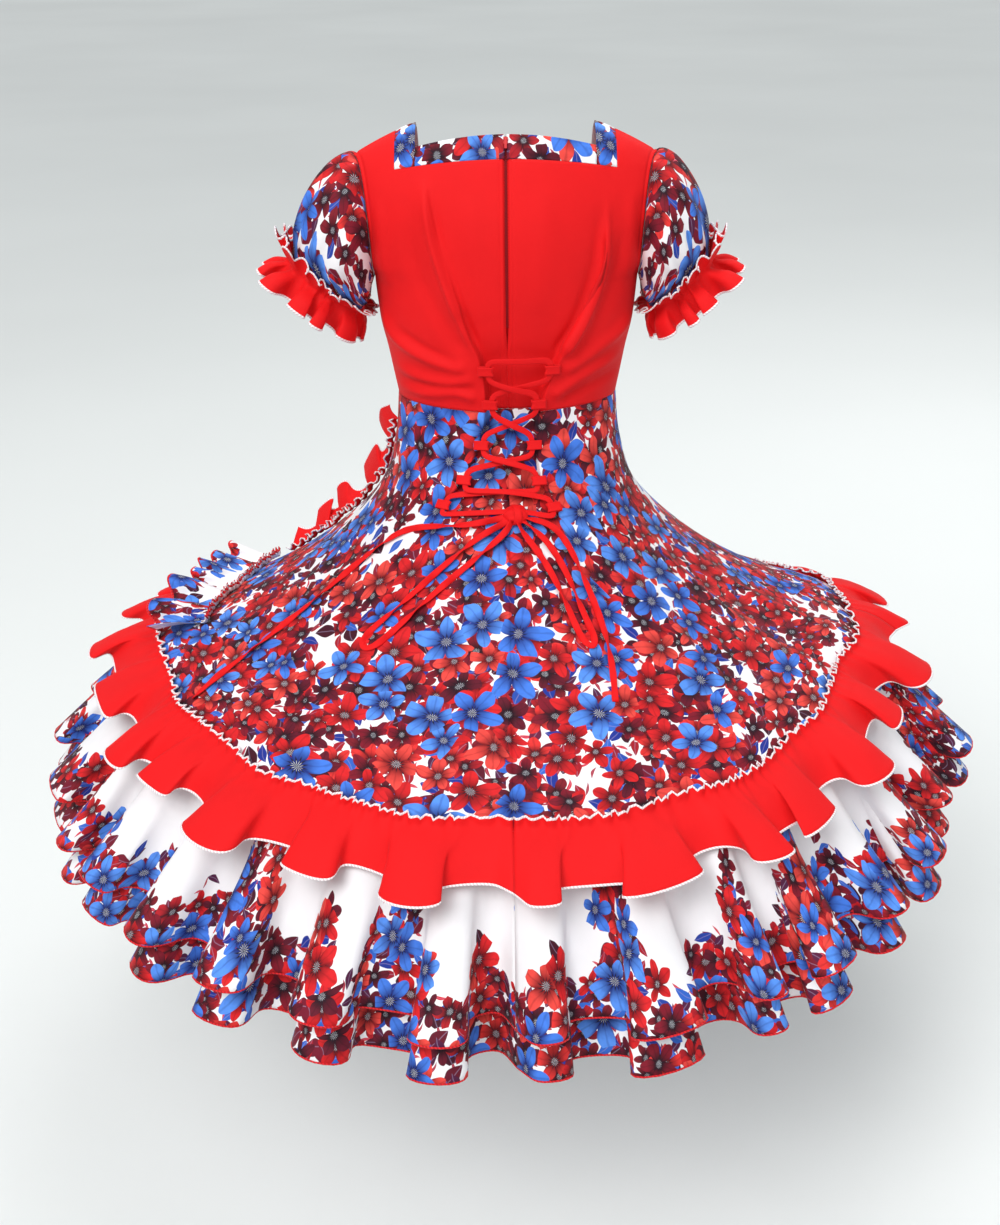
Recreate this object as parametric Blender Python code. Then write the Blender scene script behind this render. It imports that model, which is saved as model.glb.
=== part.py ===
# A cueca dress, filled out as when it is worn: a red bodice with a square printed neck band,
# puffed printed sleeves, a laced back, a flared printed skirt, a red hem ruffle and two
# printed flounces. Metres, +Z up. The origin lies midway between the inner ends of the
# shoulder seams, the back faces -Y, and the wearer's left is at -X.

import math
from collections import namedtuple

import bmesh
import bpy
from mathutils import Matrix, Vector
from mathutils.kdtree import KDTree

# Walls and seams
WALL = 0.0016
SEAM_GAP = 0.0003
HALF_GAP = SEAM_GAP / 2
SEAM_REACH = 0.0014
SAME_WAY = 0.2
SLANTED_GAP = 1.3

# Neck and shoulders
NECK_INNER = 0.1125
NECK_OUTER = 0.1385
NECK_FALL_OFF = 2.2
BACK = -1
FRONT = 1
LEFT = -1
RIGHT = 1

# Armhole, an upright loop from the armpit over the back to the shoulder and down the front
ARMHOLE_MIDDLE = -0.1155
ARMHOLE_HALF_HEIGHT = 0.0775
ARMHOLE_HALF_DEPTH = 0.046
ARMHOLE_LOW_X = 0.172
ARMHOLE_SHOULDER_REACH = 0.0205

# Torso rows from the waist up to the shoulder seam. Height and depth are those of the middle.
# The edge is the side seam at half_width, or the armhole at turn degrees from the armpit.
TorsoRow = namedtuple("TorsoRow", "step height depth half_width turn roundness")
BACK_ROWS = (
    TorsoRow(0, -0.348, 0.100, 0.147, None, 1.00),
    TorsoRow(1, -0.316, 0.102, 0.153, None, 1.00),
    TorsoRow(2, -0.283, 0.105, 0.159, None, 1.00),
    TorsoRow(3, -0.245, 0.109, 0.167, None, 1.00),
    TorsoRow(4, -0.203, 0.110, None, 0, 0.90),
    TorsoRow(5, -0.162, 0.107, None, 45, 0.45),
    TorsoRow(6, -0.120, 0.101, None, 80, 0.20),
    TorsoRow(7, -0.076, 0.089, None, 112, 0.10),
    TorsoRow(8, -0.034, 0.0735, None, 136, 0.00),
    TorsoRow(9, -0.004, 0.055, None, 150, 0.00),
    TorsoRow(10, 0.013, 0.031, None, 165, 0.00),
    TorsoRow(11, 0.0197, 0.000, None, 180, 0.00),
)
FRONT_ROWS = (
    TorsoRow(0, -0.348, 0.100, 0.147, None, 1.00),
    TorsoRow(1, -0.316, 0.1035, 0.153, None, 1.00),
    TorsoRow(2, -0.283, 0.111, 0.159, None, 1.00),
    TorsoRow(3, -0.245, 0.122, 0.167, None, 1.00),
    TorsoRow(4, -0.197, 0.130, None, 0, 0.90),
    TorsoRow(5, -0.170, 0.130, None, 40, 0.55),
    TorsoRow(6, -0.145, 0.127, None, 68, 0.30),
    TorsoRow(7, -0.100, 0.113, None, 100, 0.10),
    TorsoRow(8, -0.058, 0.091, None, 124, 0.00),
    TorsoRow(9, -0.022, 0.064, None, 145, 0.00),
    TorsoRow(10, 0.006, 0.034, None, 163, 0.00),
    TorsoRow(11, 0.0197, 0.000, None, 180, 0.00),
)
BACK_NECK_STEP = 8
FRONT_NECK_STEP = 6
TOP_STEP = 11
BACK_BAND_START = 0.010
BACK_BAND_RISE = 0.88
FRONT_BAND_START = 0.008
FRONT_BAND_RISE = 0.62
BACK_PANEL_COLUMNS = 8
NECK_COLUMN = 5
OUTER_COLUMNS = (0.42, 0.76)
BUST_FULLNESS = 0.010
BUST_X = 0.078
BUST_HEIGHT = -0.185
BUST_RADIUS = 0.055

# The two long folds that the lacing pulls together at the back: how far below the shoulders,
# how far from the middle, and how strongly the cloth stands up there.
FoldRow = namedtuple("FoldRow", "drop reach strength")
LEFT_FOLD = (
    FoldRow(0.030, 0.104, 0.00),
    FoldRow(0.080, 0.099, 0.05),
    FoldRow(0.160, 0.076, 0.20),
    FoldRow(0.237, 0.0535, 0.45),
    FoldRow(0.282, 0.0365, 0.85),
    FoldRow(0.343, 0.0300, 1.00),
    FoldRow(0.391, 0.0410, 1.00),
    FoldRow(0.435, 0.0640, 0.80),
    FoldRow(0.470, 0.0950, 0.35),
    FoldRow(0.520, 0.1250, 0.00),
)
RIGHT_FOLD = (
    FoldRow(0.030, 0.108, 0.00),
    FoldRow(0.080, 0.124, 0.00),
    FoldRow(0.160, 0.126, 0.15),
    FoldRow(0.224, 0.104, 0.45),
    FoldRow(0.282, 0.0670, 0.85),
    FoldRow(0.343, 0.0440, 1.00),
    FoldRow(0.391, 0.0400, 1.00),
    FoldRow(0.435, 0.0460, 0.80),
    FoldRow(0.470, 0.0680, 0.40),
    FoldRow(0.520, 0.0950, 0.00),
)
FOLD_CREST = 0.005
FOLD_RECESS = 0.007
FOLD_FOOT = 0.007
FOLD_FADE = 0.030
FOLD_END_SLANTS = (0.13, 0.24)

# Skirt sections by slant length below the waist. Height is that of the middle of the back;
# the sides rise by side_rise from it, and the front drops by front_drop.
SkirtRow = namedtuple(
    "SkirtRow", "slant half_width back_depth front_depth height side_rise front_drop")
SKIRT_ROWS = (
    SkirtRow(0.000, 0.147, 0.100, 0.100, -0.3483, 0.000, 0.000),
    SkirtRow(0.055, 0.153, 0.116, 0.110, -0.4000, -0.008, 0.000),
    SkirtRow(0.120, 0.174, 0.152, 0.138, -0.4540, -0.024, 0.004),
    SkirtRow(0.200, 0.224, 0.214, 0.178, -0.5060, -0.036, 0.016),
    SkirtRow(0.300, 0.302, 0.292, 0.224, -0.5700, -0.036, 0.030),
    SkirtRow(0.420, 0.396, 0.388, 0.280, -0.6430, -0.014, 0.040),
    SkirtRow(0.560, 0.494, 0.498, 0.350, -0.7260, 0.034, 0.044),
    SkirtRow(0.640, 0.542, 0.552, 0.396, -0.7880, 0.034, 0.040),
    SkirtRow(0.840, 0.650, 0.668, 0.505, -0.9480, 0.030, 0.030),
)
OVERSKIRT_LENGTH = 0.562
BACK_COLUMNS = 14
FRONT_COLUMNS = 18
OVERSKIRT_SLANTS = (0.0, 0.030, 0.062, 0.098, 0.140, 0.190, 0.255, 0.335, 0.445, OVERSKIRT_LENGTH)

# Soft flutes of the skirt: where round the body, how wide, and how far they stand out at the hem
Flute = namedtuple("Flute", "azimuth width depth")
FLUTES = (
    Flute(-165, 11, 0.012),
    Flute(-138, 10, 0.016),
    Flute(-112, 9, 0.014),
    Flute(-84, 9, 0.016),
    Flute(-60, 8, 0.013),
    Flute(-38, 8, 0.015),
    Flute(-15, 8, 0.012),
    Flute(12, 8, 0.013),
    Flute(34, 8, 0.015),
    Flute(57, 8, 0.012),
    Flute(66, 16, -0.020),
    Flute(80, 9, 0.016),
    Flute(108, 9, 0.014),
    Flute(135, 10, 0.015),
    Flute(163, 11, 0.013),
)
FLUTE_START = 0.10
FLUTE_GROWTH_LIMIT = 1.3

# Ruffles and flounces: each row has its slant length, its distance out from the skirt and the
# swing of its waves
FrillRow = namedtuple("FrillRow", "slant lift swing")
HEM_RUFFLE_ROWS = (
    FrillRow(0.632, 0.032, 0.0155),
    FrillRow(0.600, 0.0215, 0.0100),
    FrillRow(0.562, 0.0046, 0.0016),
    FrillRow(0.546, 0.0072, 0.0034),
)
UPPER_FLOUNCE_ROWS = (
    FrillRow(0.785, 0.012, 0.031),
    FrillRow(0.655, -0.003, 0.0130),
    FrillRow(0.5648, -0.0006, 0.0012),
)
LOWER_FLOUNCE_ROWS = (
    FrillRow(0.830, -0.014, 0.029),
    FrillRow(0.690, -0.014, 0.0150),
    FrillRow(0.5655, -0.0040, 0.0012),
)
HEM_RUFFLE_WAVES = 28
FLOUNCE_WAVES = 30
COLUMNS_PER_WAVE = 5
WAVE_FOLDING = 0.055

# Sleeves: the outer and inner ends of the cuff, the puff and the depth of the cuff's oval
SLEEVE_CUFF = {
    LEFT: (Vector((0.280, 0.0, -0.172)), Vector((0.190, 0.0, -0.236))),
    RIGHT: (Vector((0.266, 0.0, -0.176)), Vector((0.188, 0.0, -0.236))),
}
SLEEVE_PUFF = 0.032
SLEEVE_SIDE_FULLNESS = 0.30
SLEEVE_PUFF_BEND = 0.8
CUFF_HALF_DEPTH = 0.050
SLEEVE_SEAM_TURN = 0.2
SLEEVE_ROWS = 5
SLEEVE_LENGTH = 0.115
SLEEVE_RUFFLE_WAVES = 11
ARMPIT_SWING = 0.30
ARMPIT_PLACES = (0.03, 0.16)
SLEEVE_RUFFLE_ROWS = (
    FrillRow(0.034, 0.013, 0.0085),
    FrillRow(0.017, 0.010, 0.0060),
    FrillRow(0.000, 0.0034, 0.0012),
    FrillRow(-0.016, 0.0125, 0.0060),
)

# The ruffle that comes down the wearer's left side and the flounce below it. Their seams are
# paths on the skirt. The ruffle's rows run across towards the front, the flounce's run down.
PathRow = namedtuple("PathRow", "place azimuth slant")
SIDE_RUFFLE_PATH = (
    PathRow(0.00, -101, 0.045),
    PathRow(0.20, -103, 0.105),
    PathRow(0.40, -109, 0.170),
    PathRow(0.60, -113, 0.235),
    PathRow(0.80, -115, 0.300),
    PathRow(1.00, -115, 0.362),
)
SIDE_RUFFLE_ROWS = (
    FrillRow(0.036, 0.034, 0.0105),
    FrillRow(0.018, 0.019, 0.0070),
    FrillRow(0.000, 0.0039, 0.0012),
    FrillRow(-0.010, 0.0090, 0.0035),
)
SIDE_RUFFLE_WAVES = 8
SIDE_FLOUNCE_PATH = (
    PathRow(0.00, -116, 0.398),
    PathRow(0.33, -105, 0.405),
    PathRow(0.67, -93, 0.428),
    PathRow(1.00, -80, 0.462),
)
SIDE_FLOUNCE_ROWS = (
    FrillRow(0.086, 0.034, 0.0130),
    FrillRow(0.045, 0.021, 0.0085),
    FrillRow(0.000, 0.0048, 0.0012),
    FrillRow(-0.010, 0.0120, 0.0040),
)
SIDE_FLOUNCE_WAVES = 6

# Lacing: heights of the five pairs of loops, the loops' own size and the flat lace
LOOP_HEIGHTS = (-0.290, -0.336, -0.391, -0.434, -0.464)
LOOP_LENGTH = 0.020
LOOP_WIDTH = 0.012
LOOP_THICKNESS = 0.0052
LOOP_WALL = 0.0010
LOOP_SEAT = 0.0031
LOOP_SEGMENTS = 10
LACE_WIDTH = 0.0065
LACE_WALL = 0.0012
LACE_REACH = 0.0105
LACE_CLEARANCE = 0.0022
LACE_LIFT = 0.0024
LACE_BEND = 0.0045
CROSSING_LIFT = 0.0060
TOP_BAR_RISE = 0.006
KNOT_AZIMUTH = 2.5
KNOT_SLANT = 0.143
KNOT_LIFT = 0.0067
KNOT_RADII = (0.0105, 0.0065, 0.0095)
SMOOTH_STEPS = 12

# The free ends: bow loops and tails, as points on the skirt in degrees and metres
CORD_RADIUS = 0.0025
CORD_LIFT = 0.0036
RoutePoint = namedtuple("RoutePoint", "azimuth slant")
CORD_ROUTES = {
    "bow_loop_left": (
        RoutePoint(-2.0, 0.1525), RoutePoint(-8, 0.164), RoutePoint(-14, 0.182),
        RoutePoint(-21, 0.213), RoutePoint(-27, 0.250), RoutePoint(-32, 0.290),
        RoutePoint(-34.5, 0.318), RoutePoint(-34.3, 0.336), RoutePoint(-32.3, 0.340),
        RoutePoint(-30, 0.325), RoutePoint(-27, 0.296), RoutePoint(-22, 0.257),
        RoutePoint(-15, 0.218), RoutePoint(-7, 0.186), RoutePoint(-1.0, 0.163),
    ),
    "bow_loop_right": (
        RoutePoint(4.2, 0.160), RoutePoint(8.0, 0.183), RoutePoint(11.0, 0.206),
        RoutePoint(13.4, 0.237), RoutePoint(14.8, 0.270), RoutePoint(15.6, 0.300),
        RoutePoint(16.7, 0.322), RoutePoint(18.3, 0.330), RoutePoint(19.3, 0.316),
        RoutePoint(18.7, 0.290), RoutePoint(18.0, 0.255), RoutePoint(17.0, 0.222),
        RoutePoint(14.8, 0.193), RoutePoint(11.5, 0.170), RoutePoint(7.3, 0.1545),
    ),
    "lace_tail_left": (
        RoutePoint(-3.2, 0.1450), RoutePoint(-13, 0.152), RoutePoint(-23, 0.156),
        RoutePoint(-33, 0.158), RoutePoint(-42, 0.166), RoutePoint(-49, 0.186),
        RoutePoint(-54, 0.217), RoutePoint(-57.5, 0.260), RoutePoint(-59.3, 0.310),
        RoutePoint(-60.2, 0.365), RoutePoint(-60.4, 0.420), RoutePoint(-59.9, 0.475),
        RoutePoint(-59.0, 0.528),
    ),
    "lace_tail_right": (
        RoutePoint(8.3, 0.1465), RoutePoint(13, 0.150), RoutePoint(17.6, 0.162),
        RoutePoint(20.6, 0.188), RoutePoint(22.0, 0.223), RoutePoint(22.4, 0.262),
        RoutePoint(22.3, 0.300), RoutePoint(21.6, 0.336), RoutePoint(20.4, 0.370),
        RoutePoint(19.0, 0.405),
    ),
}
CORD_POINT_SPACING = 0.0125

# Zip at the middle of the back: the slider, and the pull that hinges on it
ZIP_STEP = 8.66
ZIP_REACH = 0.1
SLIDER_SIZE = (0.0056, 0.0014, 0.0090)
SLIDER_RISE = 0.003
CHEEK_SIZE = (0.0008, 0.0022, 0.0032)
CHEEK_DEPTH = 0.00015
PULL_THICKNESS = 0.0010
PULL_LENGTH = 0.0125
PULL_BAR_RADIUS = 0.0008
PULL_CLEARANCE = 0.0004

# Colours
RED = (0.84, 0.012, 0.020, 1.0)
PRINT = (0.62, 0.30, 0.36, 1.0)
PALE_PRINT = (0.84, 0.76, 0.78, 1.0)
PULL_RED = (0.62, 0.05, 0.06, 1.0)


def mix(first, second, share):
    return first + (second - first) * share


def eased(value, low, high):
    share = min(max((value - low) / (high - low), 0.0), 1.0)
    return share * share * (3.0 - 2.0 * share)


def read_table(rows, key, column, place):
    # A smooth curve through one column of a table, read at a place on its key column
    keys = [getattr(row, key) for row in rows]
    values = [getattr(row, column) for row in rows]
    last = len(keys) - 1
    place = min(max(place, keys[0]), keys[last])
    index = next((i for i in range(last) if place <= keys[i + 1]), last - 1)

    def slope(i):
        low, high = max(i - 1, 0), min(i + 1, last)
        return (values[high] - values[low]) / (keys[high] - keys[low])

    width = keys[index + 1] - keys[index]
    t = (place - keys[index]) / width
    start = values[index] * (1 + 2 * t) * (1 - t) ** 2 + slope(index) * width * t * (1 - t) ** 2
    end = values[index + 1] * t * t * (3 - 2 * t) - slope(index + 1) * width * t * t * (1 - t)
    return start + end


def armhole_point(turn, facing):
    # One point of the left or right armhole loop, given for the right side
    angle = math.radians(turn)
    return Vector((
        ARMHOLE_LOW_X + ARMHOLE_SHOULDER_REACH * (turn / 180) ** 3,
        facing * ARMHOLE_HALF_DEPTH * math.sin(angle),
        ARMHOLE_MIDDLE - ARMHOLE_HALF_HEIGHT * math.cos(angle),
    ))


EdgeRow = namedtuple("EdgeRow", "step height depth edge_x edge_y edge_z roundness")


def with_edges(rows, facing):
    result = []
    for row in rows:
        edge = Vector((row.half_width or 0.0, 0.0, row.height))
        if row.turn is not None:
            edge = armhole_point(row.turn, facing)
        result.append(EdgeRow(row.step, row.height, facing * row.depth,
                              edge.x, edge.y, edge.z, row.roundness))
    return result


TORSO = {BACK: with_edges(BACK_ROWS, BACK), FRONT: with_edges(FRONT_ROWS, FRONT)}


def fold_values(side, drop):
    table = LEFT_FOLD if side == LEFT else RIGHT_FOLD
    reach = read_table(table, "drop", "reach", drop)
    strength = read_table(table, "drop", "strength", drop)
    return reach, strength


def lacing_relief(x, drop):
    # How far the back stands out near the lacing: a crest along each fold, a recess between
    side = LEFT if x < 0 else RIGHT
    reach, strength = fold_values(side, drop)
    beyond = abs(x) - reach
    if beyond > 0:
        height = FOLD_CREST * math.exp(-beyond / FOLD_FADE)
    else:
        height = mix(FOLD_CREST, -FOLD_RECESS, min(-beyond / FOLD_FOOT, 1.0))
    return height * strength


def torso_point(facing, x, step, laced=True):
    # A point of the torso form at a distance x from the middle
    row = {name: read_table(TORSO[facing], "step", name, step) for name in EdgeRow._fields[1:]}
    share = min(abs(x) / row["edge_x"], 1.0)
    round_bend = math.sqrt(1.0 - share * share)
    flat_bend = 1.0 - share ** NECK_FALL_OFF
    bend = mix(flat_bend, round_bend, min(max(row["roundness"], 0.0), 1.0))
    point = Vector((
        x,
        mix(row["edge_y"], row["depth"], bend),
        mix(row["height"], row["edge_z"], share * share),
    ))
    if facing == BACK:
        point.y -= lacing_relief(x, -point.z) if laced else 0.0
    else:
        away = math.hypot(abs(x) - BUST_X, point.z - BUST_HEIGHT) / BUST_RADIUS
        point.y += BUST_FULLNESS * math.exp(-away * away)
    return point


def torso_half_width(facing, step):
    return read_table(TORSO[facing], "step", "edge_x", step)


def skirt_point(azimuth, slant, laced=True):
    # A point of the skirt form: azimuth 0 is the middle of the back, and +90 is at +X
    angle = math.radians(azimuth)
    row = {name: read_table(SKIRT_ROWS, "slant", name, slant) for name in SkirtRow._fields[1:]}
    facing_back = math.cos(angle) > 0
    depth = row["back_depth"] if facing_back else row["front_depth"]
    side = math.sin(angle) ** 2
    point = Vector((
        row["half_width"] * math.sin(angle),
        -depth * math.cos(angle),
        row["height"] + row["side_rise"] * side,
    ))
    if not facing_back:
        point.z -= row["front_drop"] * (1.0 - side)
    growth = max(slant - FLUTE_START, 0.0) / (OVERSKIRT_LENGTH - FLUTE_START)
    out = 0.0
    for flute in FLUTES:
        turn = (azimuth - flute.azimuth + 180) % 360 - 180
        out += flute.depth * math.exp(-(turn / flute.width) ** 2)
    outward = Vector((math.sin(angle), -math.cos(angle), 0.0))
    point += outward * out * min(growth, FLUTE_GROWTH_LIMIT)
    if facing_back and laced:
        point.y -= lacing_relief(point.x, -point.z)
    return point


def skirt_normal(azimuth, slant):
    turn, step = 1.5, 0.006
    across = skirt_point(azimuth + turn, slant) - skirt_point(azimuth - turn, slant)
    up = skirt_point(azimuth, max(slant - step, 0.0)) - skirt_point(azimuth, slant + step)
    return across.cross(up).normalized()


def cloth_material(name, colour, roughness=0.75):
    material = bpy.data.materials.new(name)
    material.use_nodes = True
    shader = material.node_tree.nodes["Principled BSDF"]
    shader.inputs["Base Color"].default_value = colour
    shader.inputs["Roughness"].default_value = roughness
    shader.inputs["Metallic"].default_value = 0.0
    material.diffuse_color = colour
    return material


def finish_object(name, maker, colour):
    mesh = bpy.data.meshes.new(name)
    maker.to_mesh(mesh)
    maker.free()
    mesh.materials.append(cloth_material(name, colour))
    mesh.shade_smooth()
    dress.objects.link(bpy.data.objects.new(name, mesh))


def give_wall(maker, ways_out, wall):
    # Copies the sheet inwards by its wall, against the way out of each of its points
    number = maker.verts.layers.int.new("number")
    for index, vertex in enumerate(maker.verts):
        vertex[number] = index
    copied = bmesh.ops.extrude_face_region(maker, geom=list(maker.faces), use_keep_orig=True)
    for item in copied["geom"]:
        if isinstance(item, bmesh.types.BMVert):
            item.co -= ways_out[item[number]] * wall
    maker.normal_update()
    bmesh.ops.recalc_face_normals(maker, faces=maker.faces)


def finish_sheets():
    # Pieces that meet at a seam share one way out there, so their gap is even through the wall
    corners = []
    for index, (_, _, maker, _) in enumerate(sheets):
        maker.normal_update()
        corners += [(index, vertex) for vertex in maker.verts]
    near = KDTree(len(corners))
    for number, (_, vertex) in enumerate(corners):
        near.insert(vertex.co, number)
    near.balance()
    ways_out = [[] for _ in sheets]
    for index, vertex in corners:
        way = vertex.normal.copy()
        if vertex.is_boundary:
            for _, number, _ in near.find_range(vertex.co, SEAM_REACH):
                other = corners[number][1]
                if other is not vertex and other.normal.dot(vertex.normal) > SAME_WAY:
                    way += other.normal
        ways_out[index].append(way.normalized())
    for (name, colour, maker, wall), ways in zip(sheets, ways_out):
        give_wall(maker, ways, wall)
        finish_object(name, maker, colour)


def sheet(name, colour, columns, rows, place, keep=None, flip=False, wall=WALL):
    # A cloth piece: a grid whose column and row numbers are placed in space
    maker = bmesh.new()
    bmesh.ops.create_grid(maker, x_segments=columns, y_segments=rows, size=0.5)
    if keep:
        middles = [(face, face.calc_center_median()) for face in maker.faces]
        unwanted = [face for face, middle in middles
                    if not keep((middle.x + 0.5) * columns, (middle.y + 0.5) * rows)]
        bmesh.ops.delete(maker, geom=unwanted, context="FACES")
    for vertex in maker.verts:
        column = round((vertex.co.x + 0.5) * columns)
        row = round((vertex.co.y + 0.5) * rows)
        vertex.co = place(column, row)
    if flip:
        bmesh.ops.reverse_faces(maker, faces=maker.faces)
    sheets.append((name, colour, maker, wall))


# Bodice

def back_column(side, column, step):
    # Distance of a column of the back panel from the middle, so that columns follow the fold
    edge = torso_half_width(BACK, step)
    middle = torso_point(BACK, 0.0, step)
    reach = fold_values(side, -middle.z)[0]
    neck = mix(mix(reach, edge, 0.45), NECK_OUTER, eased(step, 4.5, BACK_NECK_STEP))
    outer = [mix(neck, edge, share) for share in OUTER_COLUMNS]
    places = (HALF_GAP, reach * 0.5, reach - FOLD_FOOT, reach, mix(reach, neck, 0.5), neck,
              outer[0], outer[1], edge)
    return places[column]


def bodice_back(side):
    def place(column, row):
        step = min(row, TOP_STEP)
        point = torso_point(BACK, side * back_column(side, column, step), step)
        point.y -= HALF_GAP
        return point

    def keep(column, row):
        return column > NECK_COLUMN or row < BACK_NECK_STEP

    name = "bodice_back_left" if side == LEFT else "bodice_back_right"
    sheet(name, RED, BACK_PANEL_COLUMNS, TOP_STEP, place, keep, flip=side == LEFT)


def bodice_front():
    half_columns = 6

    def place(column, row):
        edge = torso_half_width(FRONT, row)
        neck = mix(edge * 0.66, NECK_OUTER, eased(row, 3.0, FRONT_NECK_STEP))
        inner = neck * NECK_INNER / NECK_OUTER
        count = abs(column - half_columns)
        outer = [mix(neck, edge, share) for share in OUTER_COLUMNS]
        places = (0.0, inner / 2, inner, neck, outer[0], outer[1], edge)
        side = -1 if column < half_columns else 1
        point = torso_point(FRONT, side * places[count], row)
        point.y += HALF_GAP
        return point

    def keep(column, row):
        return abs(column - half_columns) > 3 or row < FRONT_NECK_STEP

    sheet("bodice_front", RED, half_columns * 2, TOP_STEP, place, keep, flip=True)


def neck_band_back(side):
    columns, rows = 5, 2

    def place(column, row):
        x = mix(HALF_GAP, NECK_INNER - SEAM_GAP, column / columns)
        step = BACK_NECK_STEP + mix(BACK_BAND_START, BACK_BAND_RISE, row / rows)
        return torso_point(BACK, side * x, step)

    name = "neck_band_back_left" if side == LEFT else "neck_band_back_right"
    sheet(name, PRINT, columns, rows, place, flip=side == LEFT)


def neck_band_front():
    columns, rows = 4, 2
    reach = NECK_INNER - SEAM_GAP

    def place(column, row):
        step = FRONT_NECK_STEP + mix(FRONT_BAND_START, FRONT_BAND_RISE, row / rows)
        return torso_point(FRONT, mix(-reach, reach, column / columns), step)

    sheet("neck_band_front", PRINT, columns, rows, place, flip=True)


def neck_band_side(side):
    # The strip over the shoulder, from the lower edge of the back band to that of the front band
    columns = 1
    back_steps = (BACK_NECK_STEP + BACK_BAND_START, 9, 10)
    front_steps = (10, 9, 8, 7, FRONT_NECK_STEP + FRONT_BAND_START)
    rows = len(back_steps) + len(front_steps)

    def place(column, row):
        x = mix(NECK_INNER, NECK_OUTER - SEAM_GAP, column / columns)
        if row < len(back_steps):
            return torso_point(BACK, side * x, back_steps[row])
        if row == len(back_steps):
            return torso_point(BACK, side * x, TOP_STEP)
        return torso_point(FRONT, side * x, front_steps[row - len(back_steps) - 1])

    name = "neck_band_left" if side == LEFT else "neck_band_right"
    sheet(name, PRINT, columns, rows, place, flip=side == LEFT)


# Skirt

def overskirt_azimuth(side, column, slant):
    # Columns follow the lacing fold near the waist and are even below it
    even = 90 * column / BACK_COLUMNS
    middle = skirt_point(0.0, slant)
    half_width = read_table(SKIRT_ROWS, "slant", "half_width", slant)
    reach = fold_values(side, -middle.z)[0]
    crest = math.degrees(math.asin(min(reach / half_width, 0.9)))
    foot = math.degrees(math.asin(min((reach - FOLD_FOOT) / half_width, 0.9)))
    inner = (0.0, foot / 2, foot, crest)
    if column < len(inner):
        follow = inner[column]
    else:
        follow = mix(crest, 90.0, (column - 3) / (BACK_COLUMNS - 3))
    return mix(follow, even, eased(slant, *FOLD_END_SLANTS))


def gap_turn(slant):
    # The turn in degrees that opens half a seam gap at a slant length
    radius = read_table(SKIRT_ROWS, "slant", "half_width", slant)
    return math.degrees(HALF_GAP * SLANTED_GAP / radius)


def overskirt_back(side):
    rows = len(OVERSKIRT_SLANTS) - 1

    def place(column, row):
        slant = OVERSKIRT_SLANTS[row]
        azimuth = overskirt_azimuth(side, column, slant)
        azimuth = min(max(azimuth, gap_turn(slant)), 90 - gap_turn(slant))
        return skirt_point(side * azimuth, slant)

    name = "overskirt_back_left" if side == LEFT else "overskirt_back_right"
    sheet(name, PRINT, BACK_COLUMNS, rows, place, flip=side == RIGHT)


def overskirt_front():
    rows = len(OVERSKIRT_SLANTS) - 1

    def place(column, row):
        slant = OVERSKIRT_SLANTS[row]
        low, high = 90 + gap_turn(slant), 270 - gap_turn(slant)
        return skirt_point(mix(low, high, column / FRONT_COLUMNS), slant)

    sheet("overskirt_front", PRINT, FRONT_COLUMNS, rows, place, flip=True)


# Ruffles and flounces

def uneven(index, spread):
    # A steady, uneven sequence round 1 for the widths and depths of waves
    return 1.0 + spread * (0.6 * math.sin(2.4 * index) + 0.4 * math.sin(5.3 * index + 1.0))


def wave_plan(count, spread=0.28):
    # Start, width and depth of each wave on a strip whose whole length is 1
    widths = [uneven(index, spread) for index in range(count)]
    total = sum(widths)
    plan, start = [], 0.0
    for index, width in enumerate(widths):
        plan.append((start, width / total, uneven(index + 7, 0.32)))
        start += width / total
    return plan


def frill(name, colour, rows, plan, surface, calm=None, flip=False):
    # A gathered strip: each row swings out and in along the waves, and folds back a little.
    # Calm gives the share of the swing that is left at a place along the strip.
    columns = len(plan) * COLUMNS_PER_WAVE

    def place(column, row):
        index = min(column // COLUMNS_PER_WAVE, len(plan) - 1)
        start, width, depth = plan[index]
        share = column / COLUMNS_PER_WAVE - index
        angle = 2 * math.pi * share
        values = rows[row]
        folded = share - WAVE_FOLDING * math.sin(2 * angle) * min(values.swing / 0.02, 1.0)
        point, normal = surface(start + width * folded, values.slant)
        swing = values.swing * depth * math.sin(angle)
        if calm:
            swing *= calm(start + width * share)
        return point + normal * (values.lift + swing)

    sheet(name, colour, columns, len(rows) - 1, place, flip=flip)


QUARTERS = (
    ("back_left", -90.0),
    ("back_right", 0.0),
    ("front_right", 90.0),
    ("front_left", 180.0),
)


def skirt_frills(name, colour, rows, waves):
    for index, (quarter, start) in enumerate(QUARTERS):
        share = waves // 4 + (1 if index < waves % 4 else 0)

        def surface(place, slant):
            turn = gap_turn(slant)
            azimuth = mix(start + turn, start + 90 - turn, place)
            return skirt_point(azimuth, slant), skirt_normal(azimuth, slant)

        frill(name + "_" + quarter, colour, rows, wave_plan(share), surface)


def side_strip(name, colour, rows, waves, path, forward):
    # A gathered strip whose seam is a path on the skirt, with rows that run forward or down
    def surface(place, reach):
        azimuth = read_table(path, "place", "azimuth", place)
        slant = read_table(path, "place", "slant", place)
        if forward:
            azimuth -= math.degrees(reach / read_table(SKIRT_ROWS, "slant", "half_width", slant))
        else:
            slant += reach
        return skirt_point(azimuth, slant), skirt_normal(azimuth, slant)

    frill(name, colour, rows, wave_plan(waves), surface)


# Sleeves

def sleeve_frame(side):
    # Middle of the cuff, its half length, and the way out of it, for a sleeve at +X
    outer, inner = SLEEVE_CUFF[side]
    half = (outer - inner) / 2
    way_out = Vector((half.z, 0.0, -half.x)).normalized()
    return (outer + inner) / 2, half, way_out


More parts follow.
